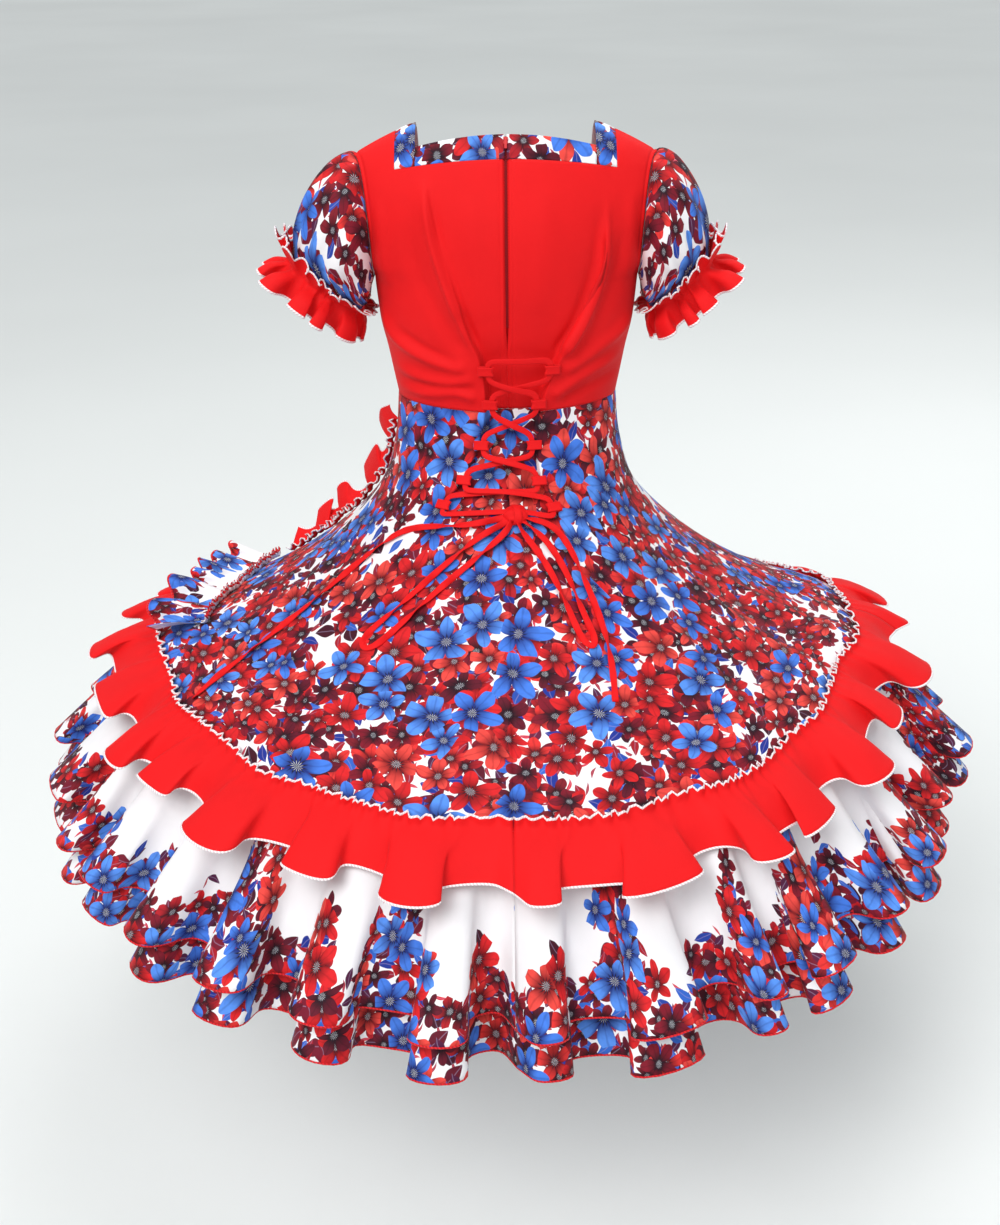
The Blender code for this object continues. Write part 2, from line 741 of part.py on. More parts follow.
def sleeve_point(side, turn, share):
    # Turn runs from the armpit over the back; share runs from the armhole to the cuff
    angle = math.radians(turn)
    middle, half, _ = sleeve_frame(side)
    facing = BACK if turn <= 180 else FRONT
    start = armhole_point(min(turn, 360 - turn), facing) + Vector((2 * SEAM_GAP, 0.0, 0.0))
    hole_middle = (armhole_point(0, BACK) + armhole_point(180, BACK)) / 2
    cuff = middle - half * math.cos(angle)
    cuff.y -= CUFF_HALF_DEPTH * math.sin(angle)
    point = start.lerp(cuff, share)
    outward = (point - hole_middle.lerp(middle, share)).normalized()
    fullness = (1.0 - math.cos(angle)) / 2 + SLEEVE_SIDE_FULLNESS * abs(math.sin(angle))
    point += outward * SLEEVE_PUFF * fullness * math.sin(math.pi * share ** SLEEVE_PUFF_BEND)
    return Vector((side * point.x, point.y, point.z))


def sleeve_turns():
    # The sleeve has the same points round the armhole as the panels that it is sewn to
    back = [row.turn for row in BACK_ROWS if row.turn is not None]
    front = [360 - row.turn for row in FRONT_ROWS if row.turn is not None]
    turns = back + front[-2::-1]
    turns[0] += SLEEVE_SEAM_TURN
    turns[-1] -= SLEEVE_SEAM_TURN
    return turns


def sleeve(side):
    turns = sleeve_turns()

    def place(column, row):
        return sleeve_point(side, turns[column], 1.0 - row / SLEEVE_ROWS)

    name = "sleeve_left" if side == LEFT else "sleeve_right"
    sheet(name, PRINT, len(turns) - 1, SLEEVE_ROWS, place, flip=side == LEFT)


def sleeve_ruffle(side):
    middle, half, way_out = sleeve_frame(side)
    middle = Vector((side * middle.x, 0.0, middle.z))
    way_out = Vector((side * way_out.x, 0.0, way_out.z))

    def surface(place, slant):
        turn = mix(SLEEVE_SEAM_TURN, 360 - SLEEVE_SEAM_TURN, place)
        point = sleeve_point(side, turn, 1.0 + min(slant, 0.0) / SLEEVE_LENGTH)
        outward = point - middle
        outward -= way_out * outward.dot(way_out)
        return point + way_out * max(slant, 0.0), outward.normalized()

    def calm(place):
        return mix(ARMPIT_SWING, 1.0, eased(min(place, 1.0 - place), *ARMPIT_PLACES))

    name = "sleeve_ruffle_left" if side == LEFT else "sleeve_ruffle_right"
    frill(name, RED, SLEEVE_RUFFLE_ROWS, wave_plan(SLEEVE_RUFFLE_WAVES), surface, calm,
          flip=side == LEFT)


# Lacing

def back_surface(x, height, laced=True):
    # The point of the back at a distance from the middle and a height
    waist = BACK_ROWS[0].height
    low, high = (0.0, 8.0) if height > waist else (0.0, 0.30)
    for _ in range(30):
        probe = (low + high) / 2
        if height > waist:
            point = torso_point(BACK, x, probe, laced)
            if point.z < height:
                low = probe
            else:
                high = probe
        else:
            half_width = read_table(SKIRT_ROWS, "slant", "half_width", probe)
            azimuth = math.degrees(math.asin(x / half_width))
            point = skirt_point(azimuth, probe, laced)
            if point.z > height:
                low = probe
            else:
                high = probe
    return point


def back_frame(x, height):
    # A point on the back without its lacing folds, with the ways out, up and to +X there
    reach = 0.006
    middle = back_surface(x, height, laced=False)
    up = back_surface(x, height + reach, laced=False) - back_surface(x, height - reach, laced=False)
    across = (back_surface(x + reach, height, laced=False)
              - back_surface(x - reach, height, laced=False))
    out = across.cross(up).normalized()
    return middle, out, up.normalized()


def loop_frame(side, height):
    # Where a loop leaves its fold, and the ways to the middle, up and out
    reach, strength = fold_values(side, -height)
    start, out, up = back_frame(side * reach, height)
    start += out * (FOLD_CREST * strength + LOOP_SEAT)
    inner, out_inner, _ = back_frame(side * (reach - LOOP_LENGTH), height)
    inner += out_inner * (FOLD_CREST * strength + LOOP_SEAT)
    towards = (inner - start).normalized()
    up = (up - towards * up.dot(towards)).normalized()
    out = towards.cross(up) if side == LEFT else up.cross(towards)
    return start, towards, up, out.normalized()


def lace_loop(side, number, height):
    # A flattened ring of cloth, open above and below, that stands in from the fold
    start, towards, up, out = loop_frame(side, height)
    half = LOOP_THICKNESS / 2
    maker = bmesh.new()
    bmesh.ops.create_circle(maker, segments=LOOP_SEGMENTS, radius=half)
    for vertex in maker.verts:
        if vertex.co.x > 0.0:
            vertex.co.x += LOOP_LENGTH - 2 * half
    walls = bmesh.ops.extrude_edge_only(maker, edges=list(maker.edges))["geom"]
    for item in walls:
        if isinstance(item, bmesh.types.BMVert):
            item.co.z += LOOP_WIDTH
    for vertex in maker.verts:
        across, thick, tall = vertex.co
        vertex.co = start + towards * across + out * thick + up * (tall - LOOP_WIDTH / 2)
    maker.normal_update()
    bmesh.ops.recalc_face_normals(maker, faces=maker.faces)
    name = "lace_loop_{}_{}".format("left" if side == LEFT else "right", number)
    sheets.append((name, RED, maker, LOOP_WALL))


def smooth_step(points, index, share):
    # A place on the smooth curve through the points, between two of them
    before = points[max(index - 1, 0)]
    first, second = points[index], points[index + 1]
    after = points[min(index + 2, len(points) - 1)]
    return 0.5 * (2 * first + (second - before) * share
                  + (2 * before - 5 * first + 4 * second - after) * share ** 2
                  + (3 * first - before - 3 * second + after) * share ** 3)


def smooth_path(points, steps):
    path = [smooth_step(points, index, part / steps)
            for index in range(len(points) - 1) for part in range(steps)]
    return path + [points[-1]]


def path_length(points):
    path = smooth_path(points, SMOOTH_STEPS)
    return sum((second - first).length for first, second in zip(path, path[1:]))


def even_path(points, count):
    # The smooth curve through the points, read at even shares of its whole length
    path = smooth_path(points, SMOOTH_STEPS)
    lengths = [0.0]
    for first, second in zip(path, path[1:]):
        lengths.append(lengths[-1] + (second - first).length)
    result, index = [], 0
    for number in range(count + 1):
        wanted = lengths[-1] * number / count
        while index < len(path) - 2 and lengths[index + 1] < wanted:
            index += 1
        share = (wanted - lengths[index]) / (lengths[index + 1] - lengths[index])
        result.append(path[index].lerp(path[index + 1], share))
    return result


def lace_stops():
    # The lace's way: from the knot up one side of every crossing, over the top, and down again
    climb = [(LEFT, 4), (RIGHT, 3), (LEFT, 2), (RIGHT, 1), (LEFT, 0)]
    stops = [(side, level, 1) for side, level in climb]
    return stops + [(-side, level, -1) for side, level in reversed(climb)]


def lace_gate(side, level, climbing):
    # Where the lace enters and leaves a loop, and the way out of the cloth there
    start, towards, up, out = loop_frame(side, LOOP_HEIGHTS[level])
    middle = start + towards * LACE_REACH
    straight = up * (LOOP_WIDTH / 2 + LACE_CLEARANCE) * climbing
    return middle - straight, middle + straight, out


def lace_turn(gate, other_gate, beyond):
    # A point just off a gate, on the bend from its loop to a point beyond
    return gate + ((gate - other_gate).normalized() + (beyond - gate).normalized()) * LACE_BEND


def lace_path():
    # Points on the lace, with the way out of the cloth at each
    knot_middle = skirt_point(KNOT_AZIMUTH, KNOT_SLANT)
    knot_out = skirt_normal(KNOT_AZIMUTH, KNOT_SLANT)
    ends = []
    for side in (LEFT, RIGHT):
        aside = Vector((side * (KNOT_RADII[0] + LACE_CLEARANCE), 0.0, KNOT_RADII[2] / 2))
        ends.append(knot_middle + knot_out * KNOT_LIFT + aside)
    stops = lace_stops()
    entry, leaving, out = lace_gate(*stops[0])
    points, outs = [ends[0], lace_turn(entry, leaving, ends[0])], [knot_out, out]
    for number, (side, level, climbing) in enumerate(stops):
        entry, leaving, out = lace_gate(side, level, climbing)
        points += [entry, leaving]
        outs += [out, out]
        if number == len(stops) - 1:
            points += [lace_turn(leaving, entry, ends[1]), ends[1]]
            outs += [out, knot_out]
            continue
        next_side, next_level, next_climbing = stops[number + 1]
        arrival, next_leaving, next_out = lace_gate(next_side, next_level, next_climbing)
        lifted = (min(level, next_level) % 2 == 0) == (climbing == 1)
        between = (leaving + arrival) / 2
        under, middle_out, _ = back_frame(between.x, between.z)
        clear = (between - under).dot(middle_out)
        between += middle_out * max(LACE_LIFT - clear, 0.0)
        if lifted:
            between += middle_out * CROSSING_LIFT
        if level == next_level:
            between.z += TOP_BAR_RISE
        points += [lace_turn(leaving, entry, between), between,
                   lace_turn(arrival, next_leaving, between)]
        outs += [out, middle_out, next_out]
    return points, outs


def lace():
    # The flat lace through all ten loops, from one side of the knot to the other
    path, ways_out = lace_path()
    last = len(path) - 1
    steps = [(path[index + 1] - path[index]).normalized() for index in range(last)]

    def place(column, row):
        ahead = steps[min(column, last - 1)] + steps[max(column - 1, 0)]
        across = ahead.cross(ways_out[column]).normalized()
        out = across.cross(ahead).normalized()
        return path[column] + across * LACE_WIDTH * (0.5 - row) + out * LACE_WALL / 2

    sheet("lace", RED, last, 1, place, wall=LACE_WALL)


def knot():
    maker = bmesh.new()
    bmesh.ops.create_uvsphere(maker, u_segments=10, v_segments=6, radius=1.0)
    middle = skirt_point(KNOT_AZIMUTH, KNOT_SLANT)
    out = skirt_normal(KNOT_AZIMUTH, KNOT_SLANT)
    across = Vector((1.0, 0.0, 0.0))
    across = (across - out * across.dot(out)).normalized()
    up = across.cross(out)
    for vertex in maker.verts:
        local = vertex.co.copy()
        vertex.co = (middle + out * (KNOT_LIFT + KNOT_RADII[1] * local.y)
                     + across * KNOT_RADII[0] * local.x + up * KNOT_RADII[2] * local.z)
    finish_object("bow_knot", maker, RED)


def cord_point(azimuth, slant):
    # The middle of a cord that lies over the folds of the skirt
    point = skirt_point(azimuth, slant, laced=False)
    strength = fold_values(LEFT if azimuth < 0 else RIGHT, -point.z)[1]
    return point + skirt_normal(azimuth, slant) * (CORD_LIFT + FOLD_CREST * strength)


def cord(name, route):
    # One free stretch of the lace, as a round tube that lies on the skirt
    points = [cord_point(stop.azimuth, stop.slant) for stop in route]
    length = path_length(points)
    path = even_path(points, round(length / CORD_POINT_SPACING))
    curve = bpy.data.curves.new(name, "CURVE")
    curve.dimensions = "3D"
    curve.bevel_depth = CORD_RADIUS
    curve.bevel_resolution = 2
    curve.use_fill_caps = True
    spline = curve.splines.new("POLY")
    spline.points.add(len(path) - 1)
    for point, place in zip(spline.points, path):
        point.co = (place.x, place.y, place.z, 1.0)
    curve.materials.append(cloth_material(name, RED))
    dress.objects.link(bpy.data.objects.new(name, curve))


# Zip

def zip_frame():
    # The zip's top on the neck band, with the ways out of the cloth and up along it
    low = torso_point(BACK, 0.0, ZIP_STEP - ZIP_REACH)
    high = torso_point(BACK, 0.0, ZIP_STEP + ZIP_REACH)
    up = (high - low).normalized()
    return torso_point(BACK, 0.0, ZIP_STEP), Vector((1.0, 0.0, 0.0)).cross(up), up


def block(name, size, middle):
    maker = bmesh.new()
    bmesh.ops.create_cube(maker, size=1.0)
    for vertex in maker.verts:
        vertex.co = vertex.co * Vector(size) + middle
    mesh = bpy.data.meshes.new(name)
    maker.to_mesh(mesh)
    maker.free()
    return bpy.data.objects.new(name, mesh)


def joined(target, tool):
    guides.objects.link(tool)
    tool.hide_render = True
    tool.display_type = "WIRE"
    union = target.modifiers.new("Join", "BOOLEAN")
    union.operation = "UNION"
    union.solver = "EXACT"
    union.object = tool


def place_on_zip(part, anchor, out, up):
    turn = Matrix((Vector((1.0, 0.0, 0.0)), -out, up)).transposed().to_4x4()
    part.matrix_world = Matrix.Translation(anchor) @ turn


def zip_pieces():
    # Local frame at the hinge: +X across, -Y out of the cloth, +Z up along the zip
    anchor, out, up = zip_frame()
    bar_out = SLIDER_SIZE[1] + PULL_CLEARANCE + PULL_BAR_RADIUS
    hinge = anchor + out * (SEAM_GAP + bar_out)
    drop = SLIDER_RISE - SLIDER_SIZE[2] / 2
    slider = block("zip_slider", SLIDER_SIZE, Vector((0.0, bar_out - SLIDER_SIZE[1] / 2, drop)))
    dress.objects.link(slider)
    slider.data.materials.append(cloth_material("zip_slider", PULL_RED, 0.4))
    tools = []
    for side in (LEFT, RIGHT):
        offset = Vector((side * (SLIDER_SIZE[0] - CHEEK_SIZE[0]) / 2, CHEEK_DEPTH, 0.0))
        cheek = block("cheek_{}".format(side), CHEEK_SIZE, offset)
        joined(slider, cheek)
        tools.append(cheek)
    inner = SLIDER_SIZE[0] - 2 * CHEEK_SIZE[0] - 2 * SEAM_GAP
    pull = block("zip_pull", (inner, PULL_THICKNESS, PULL_LENGTH),
                 Vector((0.0, 0.0, -PULL_LENGTH / 2)))
    dress.objects.link(pull)
    pull.data.materials.append(cloth_material("zip_pull", PULL_RED, 0.4))
    for part in [slider, pull] + tools:
        place_on_zip(part, hinge, out, up)


for old in list(bpy.data.objects):
    bpy.data.objects.remove(old)
dress = bpy.data.collections.new("cueca_dress")
bpy.context.scene.collection.children.link(dress)
guides = bpy.data.collections.new("joining_guides")
bpy.context.scene.collection.children.link(guides)
sheets = []

bodice_back(LEFT)
bodice_back(RIGHT)
bodice_front()
neck_band_back(LEFT)
neck_band_back(RIGHT)
neck_band_front()
neck_band_side(LEFT)
neck_band_side(RIGHT)
overskirt_back(LEFT)
overskirt_back(RIGHT)
overskirt_front()
skirt_frills("hem_ruffle", RED, HEM_RUFFLE_ROWS, HEM_RUFFLE_WAVES)
skirt_frills("flounce_upper", PALE_PRINT, UPPER_FLOUNCE_ROWS, FLOUNCE_WAVES)
skirt_frills("flounce_lower", PALE_PRINT, LOWER_FLOUNCE_ROWS, FLOUNCE_WAVES)
side_strip("side_ruffle", RED, SIDE_RUFFLE_ROWS, SIDE_RUFFLE_WAVES, SIDE_RUFFLE_PATH,
           forward=True)
side_strip("side_flounce", PALE_PRINT, SIDE_FLOUNCE_ROWS, SIDE_FLOUNCE_WAVES, SIDE_FLOUNCE_PATH,
           forward=False)
for wearer_side in (LEFT, RIGHT):
    sleeve(wearer_side)
    sleeve_ruffle(wearer_side)
    for level, loop_height in enumerate(LOOP_HEIGHTS):
        lace_loop(wearer_side, level + 1, loop_height)
lace()
knot()
finish_sheets()
for cord_name, cord_route in CORD_ROUTES.items():
    cord(cord_name, cord_route)
zip_pieces()
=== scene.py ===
import math
from collections import namedtuple

import bmesh
import bpy
import numpy as np
from mathutils import Matrix, Vector


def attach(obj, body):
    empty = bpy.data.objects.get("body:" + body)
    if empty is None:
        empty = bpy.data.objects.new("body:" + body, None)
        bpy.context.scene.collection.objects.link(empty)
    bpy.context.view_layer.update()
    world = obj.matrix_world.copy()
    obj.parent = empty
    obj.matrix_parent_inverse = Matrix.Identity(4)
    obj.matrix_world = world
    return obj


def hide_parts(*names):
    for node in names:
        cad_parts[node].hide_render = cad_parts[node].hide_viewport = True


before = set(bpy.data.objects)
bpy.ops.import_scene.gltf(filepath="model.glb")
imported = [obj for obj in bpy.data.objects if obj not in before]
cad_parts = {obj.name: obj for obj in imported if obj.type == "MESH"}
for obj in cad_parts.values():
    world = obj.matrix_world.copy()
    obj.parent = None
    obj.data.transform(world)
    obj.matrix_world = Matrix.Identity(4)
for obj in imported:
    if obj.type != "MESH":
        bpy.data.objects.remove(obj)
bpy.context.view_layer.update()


def rowsOf(kind, rows):
    return tuple(kind(*row) for row in rows)


# Walls and seams
seamGap = 0.0003
halfGap = seamGap / 2
slantedGap = 1.3

# Neck and shoulders
neckInner = 0.1125
neckOuter = 0.1385
neckFallOff = 2.2
back = -1
front = 1
left = -1
right = 1
sideNames = {left: "left", right: "right"}

# Armhole, an upright loop from the armpit over the back to the shoulder and down the front
armholeMiddle = -0.1155
armholeHalfHeight = 0.0775
armholeHalfDepth = 0.046
armholeLowX = 0.172
armholeShoulderReach = 0.0205

# Torso rows from the waist up to the shoulder seam. Height and depth are those of the middle.
# The edge is the side seam, or the armhole at turn degrees from the armpit.
torsoRow = namedtuple("torsoRow", "step height depth halfWidth turn roundness")
backRows = rowsOf(torsoRow, (
    (0, -0.348, 0.1, 0.147, None, 1.0), (1, -0.316, 0.102, 0.153, None, 1.0),
    (2, -0.283, 0.105, 0.159, None, 1.0), (3, -0.245, 0.109, 0.167, None, 1.0),
    (4, -0.203, 0.11, None, 0, 0.9), (5, -0.162, 0.107, None, 45, 0.45),
    (6, -0.12, 0.101, None, 80, 0.2), (7, -0.076, 0.089, None, 112, 0.1),
    (8, -0.034, 0.0735, None, 136, 0.0), (9, -0.004, 0.055, None, 150, 0.0),
    (10, 0.013, 0.031, None, 165, 0.0), (11, 0.0197, 0.0, None, 180, 0.0),
))
frontRows = rowsOf(torsoRow, (
    (0, -0.348, 0.1, 0.147, None, 1.0), (1, -0.316, 0.1035, 0.153, None, 1.0),
    (2, -0.283, 0.111, 0.159, None, 1.0), (3, -0.245, 0.122, 0.167, None, 1.0),
    (4, -0.197, 0.13, None, 0, 0.9), (5, -0.17, 0.13, None, 40, 0.55),
    (6, -0.145, 0.127, None, 68, 0.3), (7, -0.1, 0.113, None, 100, 0.1),
    (8, -0.058, 0.091, None, 124, 0.0), (9, -0.022, 0.064, None, 145, 0.0),
    (10, 0.006, 0.034, None, 163, 0.0), (11, 0.0197, 0.0, None, 180, 0.0),
))
backNeckStep = 8
frontNeckStep = 6
topStep = 11
backBandStart = 0.010
backBandRise = 0.88
frontBandStart = 0.008
frontBandRise = 0.62
neckColumn = 5
outerColumns = (0.42, 0.76)
bustFullness = 0.010
bustX = 0.078
bustHeight = -0.185
bustRadius = 0.055

# The two long folds that the lacing pulls together at the back: how far below the shoulders,
# how far from the middle, and how strongly the cloth stands up there.
foldRow = namedtuple("foldRow", "drop reach strength")
leftFold = rowsOf(foldRow, (
    (0.03, 0.104, 0.0), (0.08, 0.099, 0.05), (0.16, 0.076, 0.2), (0.237, 0.0535, 0.45),
    (0.282, 0.0365, 0.85), (0.343, 0.03, 1.0), (0.391, 0.041, 1.0), (0.435, 0.064, 0.8),
    (0.47, 0.095, 0.35), (0.52, 0.125, 0.0),
))
rightFold = rowsOf(foldRow, (
    (0.03, 0.108, 0.0), (0.08, 0.124, 0.0), (0.16, 0.126, 0.15), (0.224, 0.104, 0.45),
    (0.282, 0.067, 0.85), (0.343, 0.044, 1.0), (0.391, 0.04, 1.0), (0.435, 0.046, 0.8),
    (0.47, 0.068, 0.4), (0.52, 0.095, 0.0),
))
foldCrest = 0.005
foldRecess = 0.013
foldFoot = 0.0055
foldFade = 0.030
foldEndSlants = (0.13, 0.24)

# Skirt sections by slant length below the waist. The height is at the middle of the back;
# the sides rise from it and the front drops.
skirtRow = namedtuple(
    "skirtRow", "slant halfWidth backDepth frontDepth height sideRise frontDrop")
skirtRows = rowsOf(skirtRow, (
    (0.0, 0.147, 0.1, 0.1, -0.3483, 0.0, 0.0), (0.055, 0.153, 0.116, 0.11, -0.4, -0.008, 0.0),
    (0.12, 0.174, 0.152, 0.138, -0.454, -0.024, 0.004),
    (0.2, 0.224, 0.214, 0.178, -0.506, -0.036, 0.016),
    (0.3, 0.302, 0.292, 0.224, -0.57, -0.036, 0.03),
    (0.42, 0.396, 0.388, 0.28, -0.643, -0.014, 0.04),
    (0.56, 0.494, 0.498, 0.35, -0.726, 0.034, 0.044),
    (0.64, 0.542, 0.552, 0.396, -0.788, 0.034, 0.04),
    (0.84, 0.65, 0.668, 0.505, -0.948, 0.03, 0.03),
))
overskirtLength = 0.562
backColumnCount = 14
frontColumnCount = 18
overskirtSlants = (0.0, 0.030, 0.062, 0.098, 0.140, 0.190, 0.255, 0.335, 0.445, overskirtLength)

# Soft flutes of the skirt: where round the body, how wide, and how far they stand out at the hem
flute = namedtuple("flute", "azimuth width depth")
flutes = rowsOf(flute, (
    (-165, 11, 0.012), (-138, 10, 0.016), (-112, 9, 0.014), (-84, 9, 0.016), (-60, 8, 0.013),
    (-38, 8, 0.015), (-15, 8, 0.012), (12, 8, 0.013), (34, 8, 0.015), (57, 8, 0.012),
    (66, 16, -0.02), (80, 9, 0.016), (108, 9, 0.014), (135, 10, 0.015), (163, 11, 0.013),
))
fluteStart = 0.10
fluteGrowthLimit = 1.3

# Ruffles and flounces: each row has its slant length, its distance out from the skirt and the
# swing of its waves
frillRow = namedtuple("frillRow", "slant lift swing")
hemRuffleRows = rowsOf(frillRow, (
    (0.632, 0.032, 0.0155), (0.6, 0.0215, 0.01), (0.562, 0.0046, 0.0016),
    (0.546, 0.0072, 0.0034),
))
upperFlounceRows = rowsOf(frillRow, (
    (0.785, 0.012, 0.031), (0.655, -0.003, 0.013), (0.5648, -0.0006, 0.0012),
))
lowerFlounceRows = rowsOf(frillRow, (
    (0.83, -0.014, 0.029), (0.69, -0.014, 0.015), (0.5655, -0.004, 0.0012),
))
hemRuffleWaves = 28
flounceWaves = 30

# Sleeves: the outer and inner ends of the cuff, the puff and the depth of the cuff's oval
sleeveCuff = {
    left: (Vector((0.280, 0.0, -0.172)), Vector((0.190, 0.0, -0.236))),
    right: (Vector((0.266, 0.0, -0.176)), Vector((0.188, 0.0, -0.236))),
}
sleevePuff = 0.032
sleeveSideFullness = 0.30
sleevePuffBend = 0.8
cuffHalfDepth = 0.050
sleeveSeamTurn = 0.2
sleeveRows = 5
sleeveLength = 0.115
sleeveRuffleWaves = 11
armpitSwing = 0.30
armpitPlaces = (0.03, 0.16)
sleeveRuffleRows = rowsOf(frillRow, (
    (0.034, 0.013, 0.0085), (0.017, 0.01, 0.006), (0.0, 0.0034, 0.0012), (-0.016, 0.0125, 0.006),
))

# The ruffle that comes down the wearer's left side and the flounce below it. Their seams are
# paths on the skirt. The ruffle's rows run across towards the front, the flounce's run down.
pathRow = namedtuple("pathRow", "place azimuth slant")
sideRufflePath = rowsOf(pathRow, (
    (0.0, -101, 0.045), (0.2, -103, 0.105), (0.4, -109, 0.17), (0.6, -113, 0.235),
    (0.8, -115, 0.3), (1.0, -115, 0.362),
))
sideRuffleRows = rowsOf(frillRow, (
    (0.036, 0.034, 0.0105), (0.018, 0.019, 0.007), (0.0, 0.0039, 0.0012), (-0.01, 0.009, 0.0035),
))
sideFlouncePath = rowsOf(pathRow, (
    (0.0, -116, 0.398), (0.33, -105, 0.405), (0.67, -93, 0.428), (1.0, -80, 0.462),
))
sideFlounceRows = rowsOf(frillRow, (
    (0.086, 0.034, 0.013), (0.045, 0.021, 0.0085), (0.0, 0.0048, 0.0012), (-0.01, 0.012, 0.004),
))

# Lacing: heights of the five pairs of loops, the loops' own size and the flat lace
loopHeights = (-0.290, -0.336, -0.391, -0.434, -0.464)
loopLength = 0.020
loopWidth = 0.012
loopThickness = 0.0052
loopSeat = 0.0031
laceReach = 0.0105
laceClearance = 0.0022
laceLift = 0.0024
laceBend = 0.0045
crossingLift = 0.0060
topBarRise = 0.006
knotAzimuth = 2.5
knotSlant = 0.143
knotLift = 0.0067

# The free ends: bow loops and tails, as points on the skirt in degrees and metres
cordLift = 0.0036
cordRoutes = {
    "bow_loop_left": (
        (-2.0, 0.1525), (-8, 0.164), (-14, 0.182), (-21, 0.213), (-27, 0.25), (-32, 0.29),
        (-34.5, 0.318), (-34.3, 0.336), (-32.3, 0.34), (-30, 0.325), (-27, 0.296), (-22, 0.257),
        (-15, 0.218), (-7, 0.186), (-1.0, 0.163),
    ),
    "bow_loop_right": (
        (4.2, 0.16), (8.0, 0.183), (11.0, 0.206), (13.4, 0.237), (14.8, 0.27), (15.6, 0.3),
        (16.7, 0.322), (18.3, 0.33), (19.3, 0.316), (18.7, 0.29), (18.0, 0.255), (17.0, 0.222),
        (14.8, 0.193), (11.5, 0.17), (7.3, 0.1545),
    ),
    "lace_tail_left": (
        (-3.2, 0.145), (-13, 0.152), (-23, 0.156), (-33, 0.158), (-42, 0.166), (-49, 0.186),
        (-54, 0.217), (-57.5, 0.26), (-59.3, 0.31), (-60.2, 0.365), (-60.4, 0.42),
        (-59.9, 0.475), (-59.0, 0.528),
    ),
    "lace_tail_right": (
        (8.3, 0.1465), (13, 0.15), (17.6, 0.162), (20.6, 0.188), (22.0, 0.223), (22.4, 0.262),
        (22.3, 0.3), (21.6, 0.336), (20.4, 0.37), (19.0, 0.405),
    ),
}

# Zip at the middle of the back: the slider, and the pull that hinges on it
zipStep = 8.66
zipReach = 0.1
sliderSize = (0.0056, 0.0014, 0.0090)
sliderRise = 0.003
cheekSize = (0.0008, 0.0022, 0.0032)
cheekDepth = 0.00015
pullThickness = 0.0010
pullLength = 0.0125
pullBarRadius = 0.0008
pullClearance = 0.0004

# Numbers and tables


def mix(first, second, share):
    return first + (second - first) * share


def eased(value, low, high):
    share = np.clip((value - low) / (high - low), 0.0, 1.0)
    return share * share * (3.0 - 2.0 * share)


def unit(vectors):
    return vectors / np.maximum(np.linalg.norm(vectors, axis=-1, keepdims=True), 1e-12)


def readCurve(keys, values, place):
    keys, values = np.asarray(keys, float), np.asarray(values, float)
    last = len(keys) - 1
    before = np.maximum(np.arange(last + 1) - 1, 0)
    after = np.minimum(np.arange(last + 1) + 1, last)
    slopes = (values[after] - values[before]) / (keys[after] - keys[before])
    place = np.clip(place, keys[0], keys[-1])
    index = np.clip(np.searchsorted(keys, place, side="left") - 1, 0, last - 1)
    width = keys[index + 1] - keys[index]
    t = (place - keys[index]) / width
    start = values[index] * (1 + 2 * t) * (1 - t) ** 2 + slopes[index] * width * t * (1 - t) ** 2
    end = values[index + 1] * t * t * (3 - 2 * t) - slopes[index + 1] * width * t * t * (1 - t)
    return start + end


def readTable(rows, column, place):
    return readCurve([row[0] for row in rows], [getattr(row, column) for row in rows], place)


def armholePoints(turn, facing):
    turn = np.asarray(turn, float)
    angle = np.radians(turn)
    return np.stack(np.broadcast_arrays(
        armholeLowX + armholeShoulderReach * (turn / 180) ** 3,
        facing * armholeHalfDepth * np.sin(angle),
        armholeMiddle - armholeHalfHeight * np.cos(angle)), -1)


edgeRow = namedtuple("edgeRow", "step height depth edgeX edgeY edgeZ roundness")


def withEdges(rows, facing):
    result = []
    for row in rows:
        edge = (row.halfWidth, 0.0, row.height)
        if row.turn is not None:
            edge = armholePoints(row.turn, facing)
        result.append(edgeRow(row.step, row.height, facing * row.depth, *edge, row.roundness))
    return result


torso = {back: withEdges(backRows, back), front: withEdges(frontRows, front)}


def foldValues(side, drop):
    table = leftFold if side == left else rightFold
    return readTable(table, "reach", drop), readTable(table, "strength", drop)


def lacingRelief(x, drop):
    height = np.zeros_like(x)
    for side in (left, right):
        reach, strength = foldValues(side, drop)
        beyond = np.abs(x) - reach
        slope = foldCrest * np.exp(-np.maximum(beyond, 0.0) / foldFade)
        recess = mix(foldCrest, -foldRecess, eased(-beyond, 0.0, foldFoot * 1.3))
        mine = x < 0 if side == left else x >= 0
        height = height + np.where(beyond > 0, slope, recess) * strength * mine
    return height


def torsoPoints(facing, x, step, laced=True):
    x, step = np.broadcast_arrays(np.asarray(x, float), np.asarray(step, float))
    row = {name: readTable(torso[facing], name, step) for name in edgeRow._fields[1:]}
    share = np.minimum(np.abs(x) / row["edgeX"], 1.0)
    bend = mix(1.0 - share ** neckFallOff, np.sqrt(1.0 - share * share),
               np.clip(row["roundness"], 0.0, 1.0))
    y = mix(row["edgeY"], row["depth"], bend)
    z = mix(row["height"], row["edgeZ"], share * share)
    if facing == back:
        y = y - lacingRelief(x, -z) if laced else y
    else:
        away = np.hypot(np.abs(x) - bustX, z - bustHeight) / bustRadius
        y = y + bustFullness * np.exp(-away * away)
    return np.stack([x, y, z], -1)


